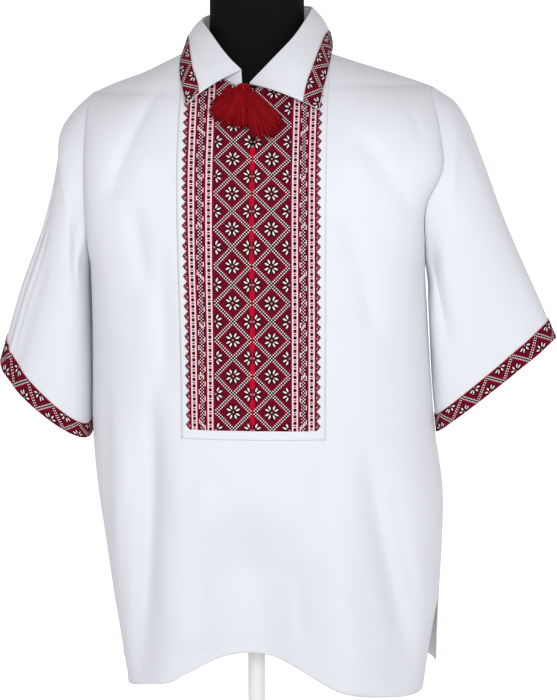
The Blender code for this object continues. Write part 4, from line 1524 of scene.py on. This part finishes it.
class SHIRT_OT_collar(bpy.types.Operator):
    """Makes the collar: its stand, its fall and the embroidered tape on the fall's edge"""

    bl_idname = "shirt.collar"
    bl_label = "Collar"

    def execute(self, context):
        stand = make_collar_stand()
        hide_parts("collar_stand")
        leaf = make_collar_leaf()
        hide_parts("collar_fall")
        tape, length = make_collar_tape()
        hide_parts("collar_tape")
        return {"FINISHED"}


# ---------------------------------------------------------------- tie


# The line that a tassel's ends reach, from its outer side to its inner side
End = namedtuple("End", "share x z")
TASSELS = {
    "right": (
        End(0.00, -0.0455, 0.8700),
        End(0.18, -0.0470, 0.8580),
        End(0.40, -0.0400, 0.8475),
        End(0.64, -0.0250, 0.8415),
        End(0.84, -0.0080, 0.8375),
        End(1.00, 0.0065, 0.8370),
    ),
    "left": (
        End(0.00, 0.0390, 0.8540),
        End(0.20, 0.0428, 0.8420),
        End(0.45, 0.0360, 0.8325),
        End(0.70, 0.0250, 0.8270),
        End(0.88, 0.0120, 0.8260),
        End(1.00, 0.0025, 0.8320),
    ),
}
TIE_X, TIE_Y, TIE_Z = -0.0050, -0.1120, 0.8860
TIE_CORD = 0.0022         # radius of the cord that is knotted
KNOT_RADIUS = 0.0038
KNOT_LOOPS = ((0.5, -0.002), (-0.6, 0.002), (1.4, 0.0))    # each loop's tilt and its place along X
STRAY_THREADS = 560


def thread_bundle(name, paths, radius):
    """Many threads in one mesh, each a thin three-sided tube, with its number and height mapped."""
    bm = bmesh.new()
    layer = bm.loops.layers.uv.new("strand")
    rng = np.random.default_rng(23)
    for number, path in enumerate(paths):
        steps = len(path)
        run = np.gradient(path, axis=0)
        run /= np.linalg.norm(run, axis=1, keepdims=True)
        side = np.cross(run, np.array([0.0, 1.0, 0.0]))
        side /= np.maximum(np.linalg.norm(side, axis=1, keepdims=True), 1e-9)
        over = np.cross(side, run)
        taper = np.full(steps, 1.0)
        taper[-1] = 0.35
        lean = rng.uniform(0, 2 * pi)
        made = bmesh.ops.create_grid(bm, x_segments=3, y_segments=steps - 1, size=1)["verts"]
        for vert in made:
            row, column = grid_place(vert, 3, steps - 1)
            angle = lean + column * 2 * pi / 3
            ring = side[row] * np.cos(angle) + over[row] * np.sin(angle)
            vert.co = path[row] + ring * radius * taper[row]
        share = number / max(1, len(paths))
        for face in {f for v in made for f in v.link_faces}:
            for loop in face.loops:
                loop[layer].uv = (share * 97.0, loop.vert.co.z)
        bmesh.ops.remove_doubles(bm, verts=made, dist=1e-7)
    ends = [e for e in bm.edges if e.is_boundary]
    bmesh.ops.holes_fill(bm, edges=ends, sides=4)
    bmesh.ops.recalc_face_normals(bm, faces=bm.faces[:])
    return finish_object(name, bm)


def tassel_paths(side, count, seed):
    """Threads from the knot to the tassel's ends, fanned out, layered and a little uneven."""
    rng = np.random.default_rng(seed)
    sign = SIGNS[side]
    paths = []
    for _ in range(count):
        at = rng.beta(1.15, 1.15)
        layer = rng.uniform(-1, 1)
        stop = rng.uniform(0.86, 1.02)
        x, z = float(read(TASSELS[side], "x", at)), float(read(TASSELS[side], "z", at))
        y = float(body_point(x, z, -1)[1]) - 0.0050 - 0.0030 * (1 - layer) * (1 - abs(at - 0.5))
        start = np.array([
            TIE_X + sign * 0.0012 + rng.normal(0, 0.0024), TIE_Y - 0.0018 + layer * 0.0012,
            TIE_Z - 0.0005 + rng.normal(0, 0.0014),
        ])
        end = start + (np.array([x, y, z]) - start) * stop
        share = np.linspace(0.0, 1.0, 8)[:, None]
        bow = np.sin(share * pi) * np.array([0.0, -0.0030 - 0.0014 * (1 - layer), 0.0016])
        curl = np.sin(share * pi * rng.uniform(0.6, 1.8)) * rng.normal(0, 0.00045, 3)
        spread = np.sin(np.clip(share * 1.4, 0, 1) * pi / 2) - share
        swell = (end - start) * np.array([0.10, 0, 0]) * spread
        paths.append(start + (end - start) * share + bow + curl + swell)
    return paths


def fuzz_paths(count, seed):
    """Short stray threads over the knot and out from under it."""
    rng = np.random.default_rng(seed)
    paths = []
    centre = np.array([TIE_X, TIE_Y - 0.001, TIE_Z - 0.0005])
    for _ in range(count):
        angle = rng.uniform(0.0, 2 * pi)
        out = np.array([np.cos(angle), rng.uniform(-0.9, 0.1), np.sin(angle) * 0.6])
        length = rng.uniform(0.004, 0.0105)
        if rng.uniform() < 0.52:
            out = np.array([rng.uniform(-1.6, -0.4), rng.uniform(-0.6, -0.1), rng.uniform(-0.8, 0.1)])
            length = rng.uniform(0.007, 0.0175)
        droop = np.array([0, 0, -1]) * rng.uniform(0.0005, 0.003)
        share = np.linspace(0.1, 1, 6)[:, None]
        curl = np.sin(share * pi * rng.uniform(0.8, 2.2)) * rng.normal(0, 0.0006, 3)
        paths.append(centre + out * length * share + droop * share**2 + curl)
    return paths


def make_knot():
    """The knot: three crossing loops of the tie cord, turned round each other."""
    bm = bmesh.new()
    layer = bm.loops.layers.uv.new("strand")
    for tilt, shift in KNOT_LOOPS:
        rings = []
        for turn in np.linspace(0, 2 * pi, 33)[:-1]:
            ring = bmesh.ops.create_circle(bm, segments=10, radius=TIE_CORD)["verts"]
            bmesh.ops.rotate(bm, verts=ring, matrix=Matrix.Rotation(pi / 2, 3, "X"), cent=(0, 0, 0))
            bmesh.ops.translate(bm, verts=ring, vec=(KNOT_RADIUS, 0, 0))
            for angle, axis in ((turn, "Z"), (pi / 2 + tilt, "X"), (tilt, "Y")):
                bmesh.ops.rotate(bm, verts=ring, matrix=Matrix.Rotation(angle, 3, axis), cent=(0, 0, 0))
            bmesh.ops.translate(bm, verts=ring, vec=(TIE_X + shift, TIE_Y, TIE_Z))
            rings.append(ring)
        bridge(bm, rings + rings[:1])
    for face in bm.faces:
        for loop in face.loops:
            loop[layer].uv = (loop.vert.co.x * 900, loop.vert.co.z)
    bmesh.ops.recalc_face_normals(bm, faces=bm.faces[:])
    return finish_object("tie_knot_cord", bm)


class SHIRT_OT_tie(bpy.types.Operator):
    """Makes the red tie at the neck: its knot, its stray threads and its two tassels"""

    bl_idname = "shirt.tie"
    bl_label = "Tie"

    def execute(self, context):
        settings = context.scene.tie
        knot = make_knot()
        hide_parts("tie_knot")
        paths = fuzz_paths(STRAY_THREADS, 3)
        fuzz = thread_bundle("tie_stray_threads", paths, settings.thread_radius * 0.85)
        pieces = [knot, fuzz]
        for side, seed in (("right", 7), ("left", 8)):
            paths = tassel_paths(side, settings.threads, seed)
            tassel = thread_bundle(f"tassel_{side}_threads", paths, settings.thread_radius)
            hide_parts(f"tassel_{side}")
            pieces.append(tassel)
        for piece in pieces:
            thread_finish().dress(piece, "red_thread")
        return {"FINISHED"}


# ---------------------------------------------------------------- form and stand


def form_ring(bm, z, half, front, back):
    """One oval ring of the form."""
    ring = bmesh.ops.create_circle(bm, segments=FORM_SEGMENTS, radius=1.0)["verts"]
    power = 2 / 2.25
    for vert in ring:
        across = np.sign(vert.co.x) * abs(vert.co.x) ** power
        through = np.sign(vert.co.y) * abs(vert.co.y) ** power
        vert.co = (CENTRE_X + across * half, through * (front if through < 0 else back), z)
    return ring


class SHIRT_OT_form(bpy.types.Operator):
    """Makes the black dress form, smooth and rounded off at the neck"""

    bl_idname = "shirt.form"
    bl_label = "Dress Form"

    def execute(self, context):
        bm = bmesh.new()
        bottom, top = FORM[0], FORM[-1]
        sizes = [value - FORM_FOOT_INSET for value in bottom[1:]]
        rings = [form_ring(bm, bottom.z, *sizes)]
        torso = np.linspace(bottom.z + 0.004, 0.84, 40)
        neck = np.linspace(0.845, top.z, 44)
        for z in (*torso.tolist(), *neck.tolist()):
            sizes = [float(read(FORM, name, z)) for name in Girth._fields[1:]]
            rings.append(form_ring(bm, z, *sizes))
        for turn in np.linspace(0.12, 1.0, 9):
            inset = NECK_TOP_ROUND * (1 - np.cos(turn * pi / 2))
            rise = NECK_TOP_ROUND * np.sin(turn * pi / 2)
            rings.append(form_ring(bm, top.z + rise, *[value - inset for value in top[1:]]))
        closed_body(bm, rings)
        obj = finish_object("dress_form_cover", bm)
        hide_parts("dress_form")
        cover_finish().dress(obj, "black_cover")
        return {"FINISHED"}


class SHIRT_OT_stand(bpy.types.Operator):
    """Makes the stand: a slim pole, and the round base plate with the socket it stands in"""

    bl_idname = "shirt.stand"
    bl_label = "Stand"

    def execute(self, context):
        low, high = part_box("stand_pole")
        radius = (high[0] - low[0]) / 2
        bm = bmesh.new()
        made = bmesh.ops.create_cone(
            bm, cap_ends=True, segments=64, radius1=radius, radius2=radius, depth=high[2] - low[2]
        )
        bmesh.ops.translate(bm, verts=made["verts"], vec=(0, 0, (high[2] + low[2]) / 2))
        pole = finish_object("stand_pole_tube", bm)
        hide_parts("stand_pole")

        low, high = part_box("stand_base")
        rim = (high[0] - low[0]) / 2
        bm = bmesh.new()
        profile = (
            (0.0, high[2]), (0.0155, high[2]), (0.0185, high[2] - 0.0012), (0.0200, high[2] - 0.004),
            (0.0215, BASE_THICK + 0.0004), (0.024, BASE_THICK - 0.0002),
            (rim - 0.012, BASE_THICK - 0.0050), (rim - 0.004, BASE_THICK - 0.0062),
            (rim - 0.0012, BASE_THICK - 0.0078), (rim, BASE_THICK - 0.0105), (rim, 0.001),
            (rim - 0.001, 0.0), (0.0, 0.0),
        )
        verts = [bm.verts.new((x, 0.0, z)) for x, z in profile]
        edges = [bm.edges.new(pair) for pair in zip(verts, verts[1:])]
        bmesh.ops.spin(
            bm, geom=verts + edges, cent=(0, 0, 0), axis=(0, 0, 1), angle=2 * pi, steps=128,
            use_merge=True,
        )
        bmesh.ops.remove_doubles(bm, verts=bm.verts[:], dist=1e-5)
        bmesh.ops.recalc_face_normals(bm, faces=bm.faces[:])
        base = finish_object("stand_base_plate", bm)
        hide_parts("stand_base")
        for piece in (pole, base):
            metal_finish().dress(piece, "white_metal")
            piece.data.set_sharp_from_angle(angle=radians(50))
        return {"FINISHED"}


# ---------------------------------------------------------------- stage


CAMERA_AT = (0.18887, -2.29241, 0.93)
CAMERA_PITCH = 9.26       # degrees below the horizon
CAMERA_AZIMUTH = 4.0      # degrees towards the wearer's left
LENS = 94.63
FLOOR_HALF = 8.0          # the floor runs this far to each side and to the front
SWEEP_FROM_Y = 5.6        # behind this the paper sweeps up
SWEEP_RADIUS = 1.2
SWEEP_TOP_Z = 5.0
GLOW_FROM_Y = -0.15       # the paper brightens from here back
GLOW_RUN = 0.4
CHEST = (0.0, 0.0, 0.6)


class SHIRT_OT_stage(bpy.types.Operator):
    """Sets the pale floor and sweep, the soft lights and the camera"""

    bl_idname = "shirt.stage"
    bl_label = "Stage"

    def execute(self, context):
        settings = context.scene.stage
        bm = bmesh.new()
        profile = [(-FLOOR_HALF, 0.0), (SWEEP_FROM_Y, 0.0)]
        profile += [
            (SWEEP_FROM_Y + SWEEP_RADIUS * np.sin(turn), SWEEP_RADIUS * (1 - np.cos(turn)))
            for turn in np.linspace(0.1, pi / 2, 14)
        ]
        profile.append((SWEEP_FROM_Y + SWEEP_RADIUS, SWEEP_TOP_Z))
        verts = [bm.verts.new((-FLOOR_HALF, y, z)) for y, z in profile]
        edges = [bm.edges.new(pair) for pair in zip(verts, verts[1:])]
        made = bmesh.ops.extrude_edge_only(bm, edges=edges)["geom"]
        moved = [v for v in made if isinstance(v, bmesh.types.BMVert)]
        bmesh.ops.translate(bm, verts=moved, vec=(2 * FLOOR_HALF, 0, 0))
        bmesh.ops.recalc_face_normals(bm, faces=bm.faces[:])
        floor = mesh_object("studio_floor", bm)
        finish = Finish("studio_paper", Roughness=0.9, Specular_IOR_Level=0.1)
        finish.shader.inputs["Base Color"].default_value = tint(settings.floor_colour)
        finish.shader.inputs["Emission Strength"].default_value = 1.0
        _, y, _ = finish.split(finish.place())
        behind = ((y - GLOW_FROM_Y) / GLOW_RUN).clamp() * settings.sweep_glow
        finish.feed("Emission Color", finish.grey(behind))
        floor.data.materials.append(finish.material)

        self.add_light("key_light", (0.45, -3.1, 1.35), 1.2, settings.key_power)
        self.add_light("fill_light", (-2.2, -2.2, 1.0), 2.0, settings.fill_power)
        world = bpy.data.worlds.new("studio_room")
        world.use_nodes = True
        background = world.node_tree.nodes["Background"]
        background.inputs["Color"].default_value = (1.0, 1.0, 1.0, 1.0)
        background.inputs["Strength"].default_value = settings.room_light
        context.scene.world = world
        context.scene.view_settings.view_transform = "Standard"

        camera = bpy.data.cameras.new("camera")
        camera.lens = LENS
        obj = new_object("camera", camera)
        obj.location = CAMERA_AT
        obj.rotation_euler = (radians(90 - CAMERA_PITCH), 0, radians(CAMERA_AZIMUTH))
        context.scene.camera = obj
        return {"FINISHED"}

    def add_light(self, name, place, size, power):
        """A square soft light that faces the chest."""
        lamp = bpy.data.lights.new(name, "AREA")
        lamp.size = size
        lamp.energy = power
        obj = new_object(name, lamp)
        obj.location = place
        facing = Vector(CHEST) - Vector(place)
        obj.rotation_euler = facing.to_track_quat("-Z", "Y").to_euler()


# ---------------------------------------------------------------- panel and running


OPERATORS = (
    SHIRT_OT_stage,
    SHIRT_OT_body,
    SHIRT_OT_chest_panel,
    SHIRT_OT_sleeves,
    SHIRT_OT_cuff_bands,
    SHIRT_OT_collar,
    SHIRT_OT_tie,
    SHIRT_OT_form,
    SHIRT_OT_stand,
)


class SHIRT_PT_tools(bpy.types.Panel):
    """Lists the settings and the steps"""

    bl_idname = "SHIRT_PT_tools"
    bl_label = "Embroidered Shirt"
    bl_space_type = "VIEW_3D"
    bl_region_type = "UI"
    bl_category = "Shirt"

    def draw(self, context):
        for name in SETTINGS:
            group = getattr(context.scene, name)
            for key in group.__annotations__:
                self.layout.prop(group, key)
        for operator in OPERATORS:
            self.layout.operator(operator.bl_idname)


SETTINGS = {
    "shirt": ShirtSettings,
    "embroidery": EmbroiderySettings,
    "tie": TieSettings,
    "stage": StageSettings,
}


def register():
    for group in (*SETTINGS.values(), *OPERATORS, SHIRT_PT_tools):
        bpy.utils.register_class(group)
    for name, group in SETTINGS.items():
        setattr(bpy.types.Scene, name, PointerProperty(type=group))


def unregister():
    for name in SETTINGS:
        delattr(bpy.types.Scene, name)
    for group in (SHIRT_PT_tools, *reversed(OPERATORS), *SETTINGS.values()):
        bpy.utils.unregister_class(group)


def main():
    register()
    for operator in OPERATORS:
        group, name = operator.bl_idname.split(".")
        getattr(getattr(bpy.ops, group), name)()


if __name__ == "__main__":
    main()
